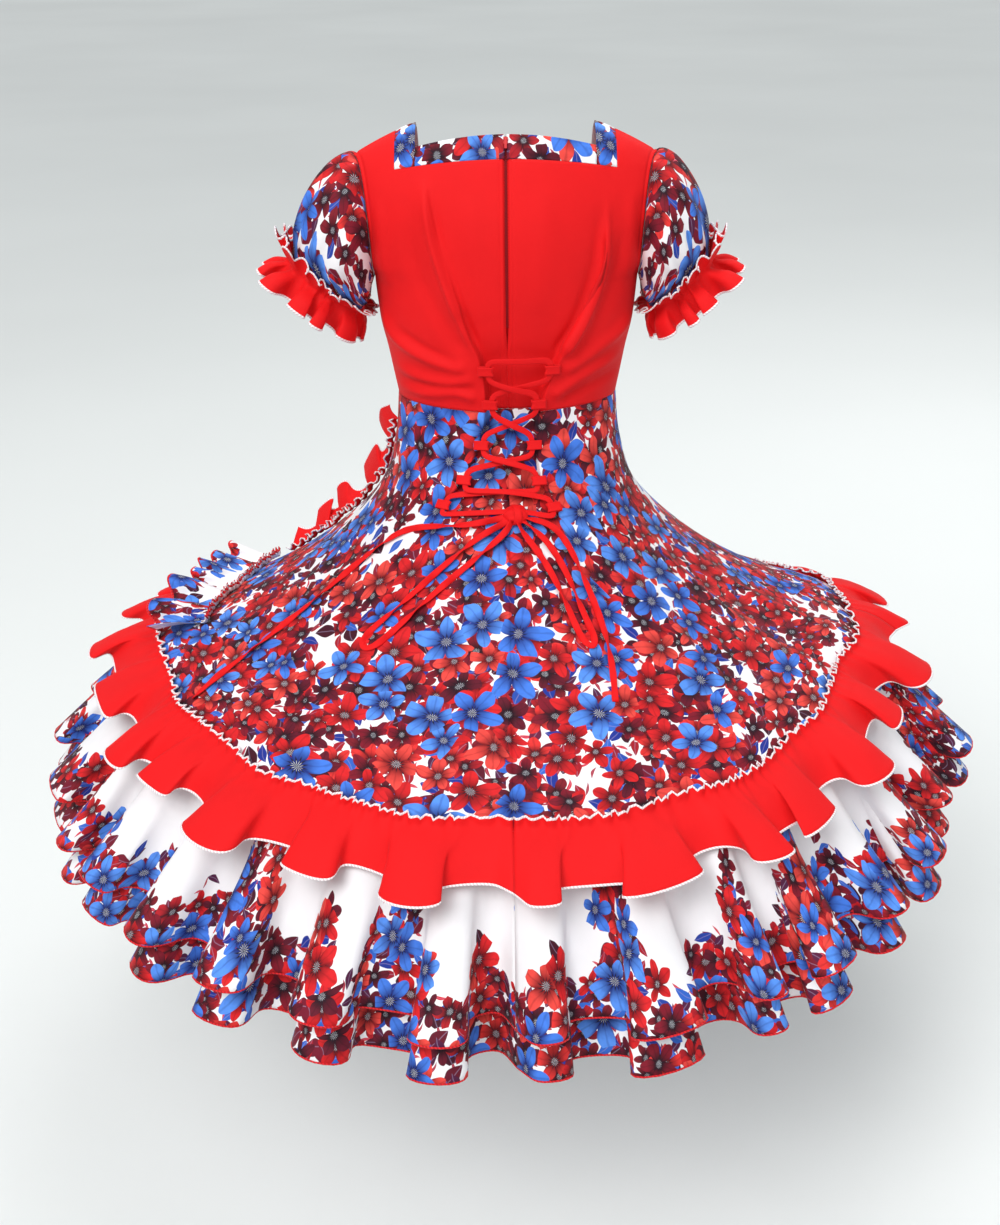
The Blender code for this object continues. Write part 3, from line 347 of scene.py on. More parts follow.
def skirtPoints(azimuth, slant, laced=True):
    azimuth, slant = np.broadcast_arrays(np.asarray(azimuth, float), np.asarray(slant, float))
    angle = np.radians(azimuth)
    row = {name: readTable(skirtRows, name, slant) for name in skirtRow._fields[1:]}
    facingBack = np.cos(angle) > 0
    side = np.sin(angle) ** 2
    z = row["height"] + row["sideRise"] * side
    z = np.where(facingBack, z, z - row["frontDrop"] * (1.0 - side))
    growth = np.maximum(slant - fluteStart, 0.0) / (overskirtLength - fluteStart)
    out = 0.0
    for ripple in flutes:
        turn = (azimuth - ripple.azimuth + 180) % 360 - 180
        out = out + ripple.depth * np.exp(-(turn / ripple.width) ** 2)
    out = out * np.minimum(growth, fluteGrowthLimit)
    x = (row["halfWidth"] + out) * np.sin(angle)
    y = -(np.where(facingBack, row["backDepth"], row["frontDepth"]) + out) * np.cos(angle)
    if laced:
        y = np.where(facingBack, y - lacingRelief(x, -z), y)
    return np.stack([x, y, z], -1)


def skirtNormals(azimuth, slant, laced=True):
    turn, step = 1.5, 0.006
    across = (skirtPoints(azimuth + turn, slant, laced)
              - skirtPoints(azimuth - turn, slant, laced))
    up = (skirtPoints(azimuth, np.maximum(slant - step, 0.0), laced)
          - skirtPoints(azimuth, slant + step, laced))
    return unit(np.cross(across, up))


# Node helpers


def feed(tree, made, values):
    for key, value in values.items():
        if isinstance(value, bpy.types.NodeSocket):
            tree.links.new(value, made.inputs[key])
        else:
            made.inputs[key].default_value = value
    return made


def node(tree, kind, values=None, **settings):
    made = tree.nodes.new("ShaderNode" + kind)
    for key, value in settings.items():
        setattr(made, key, value)
    return feed(tree, made, values or {})


def maths(tree, operation, *values):
    return node(tree, "Math", dict(enumerate(values)), operation=operation).outputs[0]


def ramped(tree, value, low, high):
    # 0 below low and 1 above high, smooth between them
    return node(tree, "MapRange", {0: value, 1: low, 2: high},
                interpolation_type="SMOOTHSTEP").outputs[0]


def coloured(tree, factor, first, second, mode="MIX"):
    return node(tree, "Mix", {0: factor, 6: first, 7: second},
                data_type="RGBA", blend_type=mode).outputs[2]


def newGroup(name, inputs, outputs):
    tree = bpy.data.node_groups.new(name, "ShaderNodeTree")
    for title, kind in inputs:
        tree.interface.new_socket(title, in_out="INPUT", socket_type="NodeSocket" + kind)
    for title, kind in outputs:
        tree.interface.new_socket(title, in_out="OUTPUT", socket_type="NodeSocket" + kind)
    given = tree.nodes.new("NodeGroupInput").outputs
    result = tree.nodes.new("NodeGroupOutput").inputs
    return tree, given, result


def product(tree, value, factor):
    return maths(tree, "MULTIPLY", value, factor)


def scaled(tree, value, factor, shift):
    return maths(tree, "MULTIPLY_ADD", value, factor, shift)


def minus(tree, value, other):
    return maths(tree, "SUBTRACT", value, other)


def grouped(tree, group, values):
    made = tree.nodes.new("ShaderNodeGroup")
    made.node_tree = group
    return feed(tree, made, values).outputs


def noise(tree, vector, scale, detail=2.0):
    return node(tree, "TexNoise", {"Vector": vector, "Scale": scale, "Detail": detail}).outputs[0]


def cellLayer(tree, given, randomness):
    # One motif to a cell: how far and at what angle from its point, its dice and its place
    cells = node(tree, "TexVoronoi", {
        "Vector": given["Vector"], "Scale": given["Scale"], "Randomness": randomness},
        voronoi_dimensions="2D").outputs
    apart = node(tree, "VectorMath", {0: given["Vector"], 1: cells["Position"]},
                 operation="SUBTRACT").outputs[0]
    split = node(tree, "SeparateXYZ", {0: apart}).outputs
    pick = node(tree, "SeparateColor", {0: cells["Color"]}).outputs
    turned = scaled(tree, pick[0], 6.28, maths(tree, "ARCTAN2", split[1], split[0]))
    return cells["Distance"], turned, pick, cells["Position"]


def sendOut(tree, result, values):
    for socket, value in zip(result, values):
        tree.links.new(value, socket)
    return tree


def makeFlowerGroup():
    # Five-petalled flowers, one to a cell, turned and sized unevenly
    tree, given, result = newGroup(
        "flowerLayer", [("Vector", "Vector"), ("Scale", "Float"), ("Size", "Float")],
        [("Petals", "Float"), ("Shade", "Float"), ("Dark", "Float"), ("Light", "Float"),
         ("Pick", "Float"), ("Chance", "Float"), ("Place", "Vector")])
    distance, turned, pick, place = cellLayer(tree, given, 0.85)
    petal = maths(tree, "ABSOLUTE", maths(tree, "COSINE", product(tree, turned, 2.5)))
    size = product(tree, given["Size"], scaled(tree, pick[1], 0.45, 0.78))
    uneven = scaled(tree, maths(tree, "SINE", turned), 0.13, 0.97)
    between = product(tree, maths(tree, "ARCCOSINE", petal), 0.6366)
    reach = scaled(tree, maths(tree, "POWER", between, 1.55), -0.66, 1.04)
    reach = product(tree, product(tree, reach, size), uneven)
    petals = ramped(tree, minus(tree, reach, distance), 0.0, 0.016)
    outward = maths(tree, "DIVIDE", distance, size)
    vein = maths(tree, "ABSOLUTE", maths(tree, "SINE", product(tree, turned, 2.5)))
    vein = ramped(tree, vein, 0.02, 0.20)
    shade = product(tree, ramped(tree, outward, 0.06, 0.80),
                    scaled(tree, ramped(tree, petal, 0.10, 0.70), 0.80, 0.20))
    shade = product(tree, shade, scaled(tree, vein, 0.28, 0.72))
    wash = noise(tree, given["Vector"], 95.0)
    shade = product(tree, shade, scaled(tree, wash, 0.75, 0.62))
    spokes = maths(tree, "SINE", scaled(tree, turned, 13.0, product(tree, outward, 9.0)))
    dark = ramped(tree, scaled(tree, spokes, -0.14, outward), 0.08, 0.24)
    dark = minus(tree, 1.0, dark)
    light = product(tree, ramped(tree, spokes, 0.70, 0.95),
                    minus(tree, 1.0, ramped(tree, outward, 0.11, 0.20)))
    return sendOut(tree, result, (petals, shade, dark, light, pick[0], pick[2], place))


def makeLeafGroup():
    # Pointed leaves, one to a cell, with a paler middle line
    tree, given, result = newGroup(
        "leafLayer", [("Vector", "Vector"), ("Scale", "Float"), ("Slender", "Float")],
        [("Leaf", "Float"), ("Shade", "Float"), ("Pick", "Float"), ("Chance", "Float"),
         ("Place", "Vector")])
    distance, turned, pick, place = cellLayer(tree, given, 0.9)
    along = product(tree, distance, maths(tree, "COSINE", turned))
    across = product(tree, distance, maths(tree, "SINE", turned))
    across = maths(tree, "ABSOLUTE", scaled(tree, along, product(tree, along, 0.35), across))
    width = maths(tree, "POWER", maths(tree, "ABSOLUTE", product(tree, along, 2.1)), 1.7)
    width = product(tree, given["Slender"], minus(tree, 1.0, width))
    leaf = ramped(tree, minus(tree, width, across), 0.0, 0.02)
    shade = scaled(tree, ramped(tree, across, 0.0, 0.03), 0.35, 0.65)
    return sendOut(tree, result, (leaf, shade, pick[1], pick[2], place))


def makeDensityGroup():
    # Where the print is dense: all over but for patches, or along a border with rising sprays
    tree, given, result = newGroup(
        "printDensity", [("Vector", "Vector"), ("Base", "Float"), ("Patches", "Float"),
                         ("Border", "Float")], [("Density", "Float")])
    split = node(tree, "SeparateXYZ", {0: given["Vector"]}).outputs
    patch = ramped(tree, noise(tree, given["Vector"], 7.0, 1.0), 0.57, 0.66)
    allOver = minus(tree, given["Base"], product(tree, patch, given["Patches"]))
    flat = node(tree, "CombineXYZ", {0: split[0]}).outputs[0]
    rise = ramped(tree, noise(tree, flat, 5.5, 1.0), 0.46, 0.62)
    tall = product(tree, given["Border"], scaled(tree, rise, 0.74, 0.26))
    border = ramped(tree, minus(tree, tall, split[1]), -0.006, 0.006)
    has = product(tree, border, maths(tree, "GREATER_THAN", given["Border"], 0.001))
    dense = maths(tree, "MAXIMUM", allOver, product(tree, has, 0.86))
    return sendOut(tree, result, (dense,))


def makePrintGroup():
    # The whole print: four layers of leaves and five layers of flowers on white
    inputs = [("Vector", "Vector"), ("Base", "Float"), ("Patches", "Float"), ("Border", "Float")]
    tree, given, result = newGroup("flowerPrint", inputs, [("Color", "Color")])
    flowers, leaves, density = makeFlowerGroup(), makeLeafGroup(), makeDensityGroup()
    sway = node(tree, "TexNoise", {"Vector": given["Vector"], "Scale": 26.0}).outputs[1]
    sway = node(tree, "VectorMath", {0: sway, 1: (0.5, 0.5, 0.5)}, operation="SUBTRACT")
    bent = node(tree, "VectorMath", {0: sway.outputs[0], 1: (0.012, 0.012, 0.0),
                                     2: given["Vector"]}, operation="MULTIPLY_ADD").outputs[0]

    def moved(x, y):
        return node(tree, "VectorMath", {0: bent, 1: (x, y, 0.0)}, operation="ADD").outputs[0]

    def present(layer, share, shift):
        place = node(tree, "VectorMath", {0: layer["Place"], 1: (shift[0], shift[1], 0.0)},
                     operation="SUBTRACT").outputs[0]
        dense = grouped(tree, density, {"Vector": place, "Base": given["Base"],
                                        "Patches": given["Patches"],
                                        "Border": given["Border"]})["Density"]
        limit = minus(tree, 1.0, product(tree, dense, share))
        return maths(tree, "GREATER_THAN", layer["Chance"], limit)

    colour = (0.82, 0.81, 0.83, 1.0)
    for row in printLeaves:
        layer = grouped(tree, leaves, {"Vector": moved(*row.shift), "Scale": row.scale,
                                       "Slender": row.slender})
        own = coloured(tree, ramped(tree, layer["Pick"], 0.35, 0.65), row.first, row.second)
        own = coloured(tree, layer["Shade"], (0.42, 0.33, 0.52, 1.0), own)
        mask = product(tree, layer["Leaf"], present(layer, row.share, row.shift))
        colour = coloured(tree, mask, colour, own)
    for row in printFlowers:
        layer = grouped(tree, flowers, {"Vector": moved(*row.shift), "Scale": row.scale,
                                        "Size": row.size})
        chosen = maths(tree, "GREATER_THAN", layer["Pick"], row.second)
        light = coloured(tree, chosen, row.light, row.otherLight)
        own = coloured(tree, layer["Shade"], row.dark, light)
        own = coloured(tree, layer["Dark"], own, (0.006, 0.004, 0.012, 1.0))
        own = coloured(tree, layer["Light"], own, (0.78, 0.80, 0.86, 1.0))
        mask = product(tree, layer["Petals"], present(layer, row.share, row.shift))
        colour = coloured(tree, mask, colour, own)
    return sendOut(tree, result, (colour,))


leafLook = namedtuple("leafLook", "shift scale slender share first second")
printLeaves = rowsOf(leafLook, (
    ((0.31, 0.12), 52.0, 0.1, 0.95, (0.36, 0.01, 0.022, 1), (0.6, 0.02, 0.035, 1)),
    ((0.63, 0.74), 30.0, 0.3, 0.95, (0.05, 0.004, 0.014, 1), (0.16, 0.006, 0.022, 1)),
    ((0.77, 0.41), 36.0, 0.2, 0.95, (0.34, 0.008, 0.018, 1), (0.075, 0.01, 0.045, 1)),
    ((0.13, 0.83), 33.0, 0.22, 0.95, (0.012, 0.03, 0.26, 1), (0.03, 0.12, 0.52, 1)),
))
flowerLook = namedtuple("flowerLook", "shift scale size share second dark light otherLight")
printFlowers = rowsOf(flowerLook, (
    ((0.07, 0.91), 27.0, 0.54, 0.75, 0.5,
     (0.03, 0.001, 0.006, 1), (0.2, 0.008, 0.018, 1), (0.42, 0.01, 0.018, 1)),
    ((0.41, 0.05), 22.0, 0.54, 0.75, 0.55,
     (0.1, 0.001, 0.004, 1), (0.58, 0.01, 0.014, 1), (0.7, 0.03, 0.028, 1)),
    ((0.19, 0.57), 23.0, 0.52, 0.62, 0.45,
     (0.016, 0.001, 0.006, 1), (0.115, 0.005, 0.018, 1), (0.2, 0.005, 0.018, 1)),
    ((0.53, 0.29), 19.0, 0.54, 0.72, 0.6,
     (0.14, 0.001, 0.004, 1), (0.64, 0.012, 0.016, 1), (0.76, 0.06, 0.048, 1)),
    ((0.91, 0.67), 16.5, 0.54, 0.58, 0.5,
     (0.008, 0.016, 0.15, 1), (0.055, 0.19, 0.7, 1), (0.09, 0.27, 0.8, 1)),
))


def makeWeaveGroup():
    # Height of a fine plain weave and of soft rumples, on cloth coordinates in metres
    tree, given, result = newGroup("clothWeave", [("Vector", "Vector")],
                                   [("Weave", "Float"), ("Rumple", "Float")])
    warp, weft = (node(tree, "TexWave", {"Vector": given["Vector"], "Scale": 620.0},
                       bands_direction=way).outputs[1] for way in "XY")
    return sendOut(tree, result, (product(tree, warp, weft),
                                  noise(tree, given["Vector"], 22.0, 3.0)))


def newMaterial(name, roughness, sheen=0.0):
    material = bpy.data.materials.new(name)
    material.use_nodes = True
    tree = material.node_tree
    shader = tree.nodes["Principled BSDF"]
    shader.inputs["Roughness"].default_value = roughness
    shader.inputs["Specular IOR Level"].default_value = 0.18
    shader.inputs["Sheen Weight"].default_value = sheen
    return material, tree, shader


def clothFinish(tree, shader, vector, colour, rough, rumple=0.0012):
    # Weave and rumples in the bump, and a little unevenness in colour and roughness
    cloth = grouped(tree, weaveGroup, {"Vector": vector})
    tone = scaled(tree, cloth["Rumple"], 0.10, 0.95)
    tinted = coloured(tree, 1.0, colour, node(tree, "CombineColor", {
        0: tone, 1: tone, 2: tone}).outputs[0], "MULTIPLY")
    tree.links.new(tinted, shader.inputs["Base Color"])
    tree.links.new(scaled(tree, cloth["Weave"], 0.12, rough), shader.inputs["Roughness"])
    soft = node(tree, "Bump", {"Height": cloth["Rumple"], "Strength": 0.5, "Distance": rumple})
    fine = node(tree, "Bump", {"Height": cloth["Weave"], "Strength": 0.35,
                               "Distance": 0.00022, "Normal": soft.outputs[0]})
    tree.links.new(fine.outputs[0], shader.inputs["Normal"])


def redMaterial(name, paintedShade=0.0):
    material, tree, shader = newMaterial(name, 0.72, 0.02)
    vector = node(tree, "UVMap", uv_map="cloth").outputs[0]
    shade = noise(tree, vector, 9.0, 1.0)
    colour = coloured(tree, shade, (0.67, 0.0040, 0.0060, 1), (0.76, 0.0060, 0.0078, 1))
    # Painted shade for the inside faces: the red is mixed towards a darker red
    if paintedShade:
        colour = coloured(tree, paintedShade, colour, (0.42, 0.002, 0.004, 1))
    clothFinish(tree, shader, vector, colour, 0.66)
    return material


def printMaterial(name, base, patches, border, inside=0.0):
    material, tree, shader = newMaterial(name, 0.68, 0.04)
    vector = node(tree, "UVMap", uv_map="cloth").outputs[0]
    colour = grouped(tree, printGroup, {"Vector": vector, "Base": base, "Patches": patches,
                                        "Border": border})["Color"]
    if inside:
        colour = coloured(tree, inside, colour, (0.80, 0.79, 0.81, 1))
    clothFinish(tree, shader, vector, colour, 0.62)
    return material


def threadMaterial(name, colour, shade):
    # Dense overlock thread: slanted stitches across the edge, with painted shade in the grooves
    # between them
    material, tree, shader = newMaterial(name, 0.55, 0.1)
    vector = node(tree, "UVMap", uv_map="cloth").outputs[0]
    stitches = node(tree, "TexWave", {"Vector": vector, "Scale": 150.0, "Distortion": 0.6},
                    bands_direction="DIAGONAL").outputs[1]
    tree.links.new(coloured(tree, stitches, shade, colour), shader.inputs["Base Color"])
    bump = node(tree, "Bump", {"Height": stitches, "Strength": 0.6, "Distance": 0.0004})
    tree.links.new(bump.outputs[0], shader.inputs["Normal"])
    return material


def plainMaterial(name, colour, roughness, scale, metal=0.0):
    material, tree, shader = newMaterial(name, roughness)
    vector = node(tree, "TexCoord").outputs["Object"]
    spots = noise(tree, vector, scale, 3.0)
    darker = tuple(0.86 * part for part in colour[:3]) + (1.0,)
    tree.links.new(coloured(tree, spots, darker, colour), shader.inputs["Base Color"])
    tree.links.new(scaled(tree, spots, 0.12, roughness - 0.06), shader.inputs["Roughness"])
    shader.inputs["Metallic"].default_value = metal
    bump = node(tree, "Bump", {"Height": spots, "Strength": 0.2, "Distance": 0.0002})
    tree.links.new(bump.outputs[0], shader.inputs["Normal"])
    return material


weaveGroup = makeWeaveGroup()
printGroup = makePrintGroup()
looks = {
    "red": redMaterial("redCloth"),
    # The inside faces of the red cloth get a copy of the red with painted shade
    "redShadedInside": redMaterial("redClothInsidePaintedShade", 0.35),
    "overskirt": printMaterial("overskirtPrint", 0.95, 0.85, 0.0),
    "overskirtInside": printMaterial("overskirtPrintInside", 1.0, 0.85, 0.0, 0.7),
    "band": printMaterial("bandPrint", 0.55, 0.8, 0.0),
    "sleeve": printMaterial("sleevePrint", 0.88, 0.55, 0.0),
    "sleeveInside": printMaterial("sleevePrintInside", 1.0, 1.0, 0.0, 0.7),
    "flounce": printMaterial("flouncePrint", 0.0, 0.0, 0.20),
    "lowerFlounce": printMaterial("lowerFlouncePrint", 0.0, 0.0, 0.27),
    "sideFlounce": printMaterial("sideFlouncePrint", 0.0, 0.0, 0.085),
    "flounceInside": printMaterial("flouncePrintInside", 0.0, 0.0, 0.21, 0.7),
    "whiteThread": threadMaterial("whiteThread", (0.90, 0.86, 0.87, 1), (0.68, 0.55, 0.57, 1)),
    "redThread": threadMaterial("redThread", (0.74, 0.012, 0.018, 1), (0.42, 0.005, 0.010, 1)),
    "tape": redMaterial("lacingTape"),
    "zipPaint": plainMaterial("zipPaint", (0.60, 0.035, 0.040, 1), 0.34, 900.0),
    "zipCoil": plainMaterial("zipCoil", (0.30, 0.006, 0.010, 1), 0.5, 700.0),
    "floor": plainMaterial("paleFloor", (0.82, 0.84, 0.83, 1), 0.9, 0.4),
}
print("materials made")


# Meshes from grids

weldDistance = 0.00002


def gridNormals(points, sign=1):
    across = np.gradient(points, axis=0)
    up = np.gradient(points, axis=1)
    return sign * unit(np.cross(across, up))


def runLengths(path):
    return np.concatenate([[0.0], np.cumsum(np.linalg.norm(np.diff(path, axis=0), axis=-1))])


def arcUv(points):
    # Cloth coordinates in metres: along each row from its middle, and up the columns
    across = np.linalg.norm(np.diff(points, axis=0), axis=-1)
    u = np.concatenate([np.zeros((1, points.shape[1])), np.cumsum(across, axis=0)])
    u = u - u[len(u) // 2]
    up = np.linalg.norm(np.diff(points, axis=1), axis=-1).mean(axis=0)
    v = np.concatenate([[0.0], np.cumsum(up)])
    return np.stack([u, np.broadcast_to(v, u.shape)], -1)


def finished(maker, name):
    mesh = bpy.data.meshes.new(name)
    maker.to_mesh(mesh)
    maker.free()
    return mesh


def gridMesh(name, points, uv, keep=None, flip=False, closed=False, capped=True):
    columns, rows = points.shape[0] - 1, points.shape[1] - 1
    maker = bmesh.new()
    bmesh.ops.create_grid(maker, x_segments=columns, y_segments=rows, size=0.5)
    if keep is not None:
        unwanted = []
        for face in maker.faces:
            middle = face.calc_center_median()
            if not keep[int((middle.x + 0.5) * columns), int((middle.y + 0.5) * rows)]:
                unwanted.append(face)
        bmesh.ops.delete(maker, geom=unwanted, context="FACES")
    mesh = finished(maker, name)
    places = np.empty(len(mesh.vertices) * 3)
    mesh.vertices.foreach_get("co", places)
    places = places.reshape(-1, 3)
    column = np.rint((places[:, 0] + 0.5) * columns).astype(int)
    row = np.rint((places[:, 1] + 0.5) * rows).astype(int)
    mesh.vertices.foreach_set("co", points[column, row].ravel())
    corners = np.empty(len(mesh.loops), dtype=np.int32)
    mesh.loops.foreach_get("vertex_index", corners)
    layer = mesh.uv_layers.new(name="cloth")
    layer.data.foreach_set("uv", uv[column, row][corners].astype(np.float32).ravel())
    if flip:
        mesh.flip_normals()
    if closed:
        maker = bmesh.new()
        maker.from_mesh(mesh)
        bmesh.ops.remove_doubles(maker, verts=maker.verts, dist=weldDistance)
        if capped:
            bmesh.ops.holes_fill(maker, edges=[edge for edge in maker.edges if edge.is_boundary])
        bmesh.ops.recalc_face_normals(maker, faces=maker.faces)
        maker.to_mesh(mesh)
        maker.free()
    mesh.update()
    mesh.shade_smooth()
    return mesh


def placed(name, data):
    item = bpy.data.objects.new(name, data)
    bpy.context.scene.collection.objects.link(item)
    return item


def addPiece(name, mesh, materials, parent=None, body="dress"):
    piece = placed(name, mesh)
    for look in materials:
        mesh.materials.append(looks[look])
    if parent:
        piece.parent = parent
    else:
        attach(piece, body)
    return piece


def tubeMesh(name, centres, axisA, axisB, halfA, halfB, segments=8, power=1.0):
    # A closed tube: an oval or flattened section carried along the centres
    angle = np.linspace(0.0, 2 * np.pi, segments + 1)[None, :, None]
    wide, thick = np.cos(angle), np.sin(angle)
    wide = np.sign(wide) * np.abs(wide) ** power
    thick = np.sign(thick) * np.abs(thick) ** power
    halfA = np.broadcast_to(halfA, len(centres))[:, None, None]
    halfB = np.broadcast_to(halfB, len(centres))[:, None, None]
    points = (centres[:, None, :] + wide * halfA * axisA[:, None, :]
              + thick * halfB * axisB[:, None, :])
    u = runLengths(centres)
    v = np.linspace(0.0, 2 * (float(np.max(halfA)) + float(np.max(halfB))), segments + 1)
    uv = np.stack(np.meshgrid(u, v, indexing="ij"), -1)
    return gridMesh(name, points, uv, closed=True)


def edgeBead(name, points, normals, row, settings, look, parent):
    # The overlocked edge along one row of a sheet
    inner = 1 if row == 0 else -2
    outward = unit(points[:, row] - points[:, inner])
    normal = normals[:, row]
    centres = points[:, row] - outward * settings["beadWidth"] * 0.25
    centres = centres - normal * settings["wall"] / 2
    mesh = tubeMesh(name, centres, outward, normal, settings["beadWidth"] / 2,
                    settings["beadThickness"] / 2, 6)
    return addPiece(name, mesh, [look], parent)


def addShell(piece, wall):
    shell = piece.modifiers.new("Shell", "SOLIDIFY")
    shell.thickness = wall
    shell.offset = -1.0
    return shell


def clothPiece(name, points, sign, outside, inside, settings, uv=None, keep=None,
               beads=()):
    # A thin shell for one cut piece, with its inside a second material
    uv = arcUv(points) if uv is None else uv
    normals = gridNormals(points, sign)
    mesh = gridMesh(name + "_cloth", points, uv, keep, flip=sign < 0)
    piece = addPiece(name + "_cloth", mesh, [outside, inside])
    addShell(piece, settings["wall"]).material_offset = 1
    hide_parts(name)
    for number, (row, look) in enumerate(beads):
        edgeBead("{}_edge_{}".format(name, number + 1), points, normals, row, settings, look,
                 piece)
    cell = np.linalg.norm(np.cross(
        points[1:, :-1] - points[:-1, :-1], points[:-1, 1:] - points[:-1, :-1]), axis=-1)
    area = float((cell if keep is None else cell * keep).sum())
    width = float(np.linalg.norm(np.diff(points, axis=0), axis=-1).sum(axis=0).max())
    height = float(np.linalg.norm(np.diff(points, axis=1), axis=-1).sum(axis=1).max())
    area = min(max(area, 0.31 * width * height), width * height)
    print("{}: cut {:.3f} x {:.3f} m, {:.4f} m2".format(name, width, height, area))
    return piece


# Camera and lights

studio = {"lens": 44.08, "cameraPlace": (-0.013, -1.96, 0.288), "cameraTilt": 63.5,
          "cameraRoll": -0.62, "sunPower": 1.36, "sunWidth": 50, "sunTurn": (32, -18, 0),
          "skyColour": (0.90, 0.95, 0.97, 1), "skyPower": 0.44, "floorHalf": 45.0,
          "floorHeight": -1.42}
camera = placed("camera", bpy.data.cameras.new("camera"))
camera.data.sensor_width = 36.0
camera.data.lens = studio["lens"]
camera.matrix_world = (Matrix.Translation(studio["cameraPlace"])
                       @ Matrix.Rotation(math.radians(studio["cameraTilt"]), 4, "X")
                       @ Matrix.Rotation(math.radians(studio["cameraRoll"]), 4, "Z"))
bpy.context.scene.camera = camera
bpy.context.scene.view_settings.view_transform = "Standard"

lamp = namedtuple("lamp", "name place target size power colour")
lamps = rowsOf(lamp, (
    ("keyLight", (-3.0, -4.65, 4.35), (0, 0, -0.6), 3.3, 228.0, (1.0, 0.985, 0.97)),
    ("fillLight", (2.6, -2.6, 1.0), (0, 0, -0.6), 2.6, 22.0, (0.96, 0.98, 1.0)),
    ("sweepLight", (2.6, 2.4, 0.7), (2.1, 2.4, -1.4), 3.0, 20.0, (1.0, 1.0, 1.0)),
    ("topLight", (0.3, 0.9, 2.6), (0, 0, -0.5), 2.0, 42.0, (1.0, 1.0, 1.0)),
))
for row in lamps:
    light = bpy.data.lights.new(row.name, "AREA")
    light.size = row.size
    light.energy = row.power
    light.color = row.colour
    holder = placed(row.name, light)
    holder.location = row.place
    holder.rotation_euler = (Vector(row.target) - Vector(row.place)).to_track_quat(
        "-Z", "Y").to_euler()
sun = bpy.data.lights.new("backgroundLight", "SUN")
sun.energy = studio["sunPower"]
sun.angle = math.radians(studio["sunWidth"])
sunHolder = placed("backgroundLight", sun)
sunHolder.rotation_euler = [math.radians(turn) for turn in studio["sunTurn"]]
world = bpy.data.worlds.new("paleStudio")
world.use_nodes = True
sky = world.node_tree.nodes["Background"]
sky.inputs[0].default_value = studio["skyColour"]
sky.inputs[1].default_value = studio["skyPower"]
bpy.context.scene.world = world
floorMaker = bmesh.new()
bmesh.ops.create_grid(floorMaker, x_segments=8, y_segments=8, size=studio["floorHalf"])
floorMesh = finished(floorMaker, "floor")
floorMesh.materials.append(looks["floor"])
floor = placed("floor", floorMesh)
floor.location = (0.0, 0.0, studio["floorHeight"])
print("camera and lights made")


# Cords: the bow's loops and the two tails, flat tapes that lie on the skirt

tape = {"width": 0.0088, "thickness": 0.0018, "segments": 12, "pointSpacing": 0.004,
        "smoothing": 10, "twist": 52.0, "twistLength": 0.11, "intoKnot": 0.6}


def smoothPath(points, steps):
    points = np.asarray(points, float)
    before = np.concatenate([points[:1], points[:-2]])
    after = np.concatenate([points[2:], points[-1:]])
    path = []
    for first, second, prior, nextOne in zip(points[:-1], points[1:], before, after):
        for part in range(steps):
            share = part / steps
            path.append(0.5 * (2 * first + (second - prior) * share
                               + (2 * prior - 5 * first + 4 * second - nextOne) * share ** 2
                               + (3 * first - prior - 3 * second + nextOne) * share ** 3))
    return np.array(path + [points[-1]])


def evenPath(points, spacing):
    path = smoothPath(points, 24)
    lengths = runLengths(path)
    count = max(round(lengths[-1] / spacing), 2)
    wanted = np.linspace(0.0, lengths[-1], count + 1)
    return np.stack([np.interp(wanted, lengths, path[:, axis]) for axis in range(3)], -1)


def bell(distance, width):
    return np.exp(-(distance / width) ** 2)


def softened(values, times):
    for _ in range(times):
        values[1:-1] = mix(values[1:-1], (values[:-2] + values[2:]) / 2, 0.5)
    return values


def tapeFrame(path, out):
    ahead = unit(np.gradient(path, axis=0))
    across = unit(np.cross(ahead, out))
    return across, unit(np.cross(across, ahead))


def cordPoints(route):
    points, ways = [], []
    for azimuth, slant in route:
        point = skirtPoints(azimuth, slant, laced=False)
        side = left if azimuth < 0 else right
        strength = foldValues(side, -point[2])[1]
        way = skirtNormals(azimuth, slant)
        points.append(point + way * (cordLift + foldCrest * strength))
        ways.append(way)
    return np.array(points), np.array(ways)


def knotFrame():
    out = skirtNormals(knotAzimuth, knotSlant)
    return skirtPoints(knotAzimuth, knotSlant) + out * knotLift, out


def tapePiece(name, farEnd):
    points, ways = cordPoints(cordRoutes[name])
    knotMiddle = knotFrame()[0]
    points = np.concatenate([[mix(points[0], knotMiddle, tape["intoKnot"])], points])
    ways = np.concatenate([ways[:1], ways])
    if farEnd == "object":
        points = np.concatenate([points, [mix(points[-1], knotMiddle, tape["intoKnot"])]])
        ways = np.concatenate([ways, ways[-1:]])
    path = softened(evenPath(points, tape["pointSpacing"]), tape["smoothing"])
    place = np.linspace(0, len(ways) - 1, len(path))
    out = unit(np.stack([np.interp(place, np.arange(len(ways)), ways[:, axis])
                         for axis in range(3)], -1))
    across, out = tapeFrame(path, out)
    turns = np.arange(len(path)) * tape["pointSpacing"] / tape["twistLength"]
    lean = np.radians(tape["twist"]) * np.sin(2 * np.pi * turns + path[0, 0] * 90) ** 3
    lean = lean[:, None]
    across, out = (across * np.cos(lean) + out * np.sin(lean),
                   out * np.cos(lean) - across * np.sin(lean))
    mesh = tubeMesh(name + "_tape", path, across, out, tape["width"] / 2,
                    tape["thickness"] / 2, tape["segments"], 0.6)
    piece = addPiece(name + "_tape", mesh, ["tape"])
    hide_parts(name)


tapePiece("bow_loop_left", "object")
tapePiece("bow_loop_right", "object")
tapePiece("lace_tail_left", "bare")
tapePiece("lace_tail_right", "bare")


# Bodice

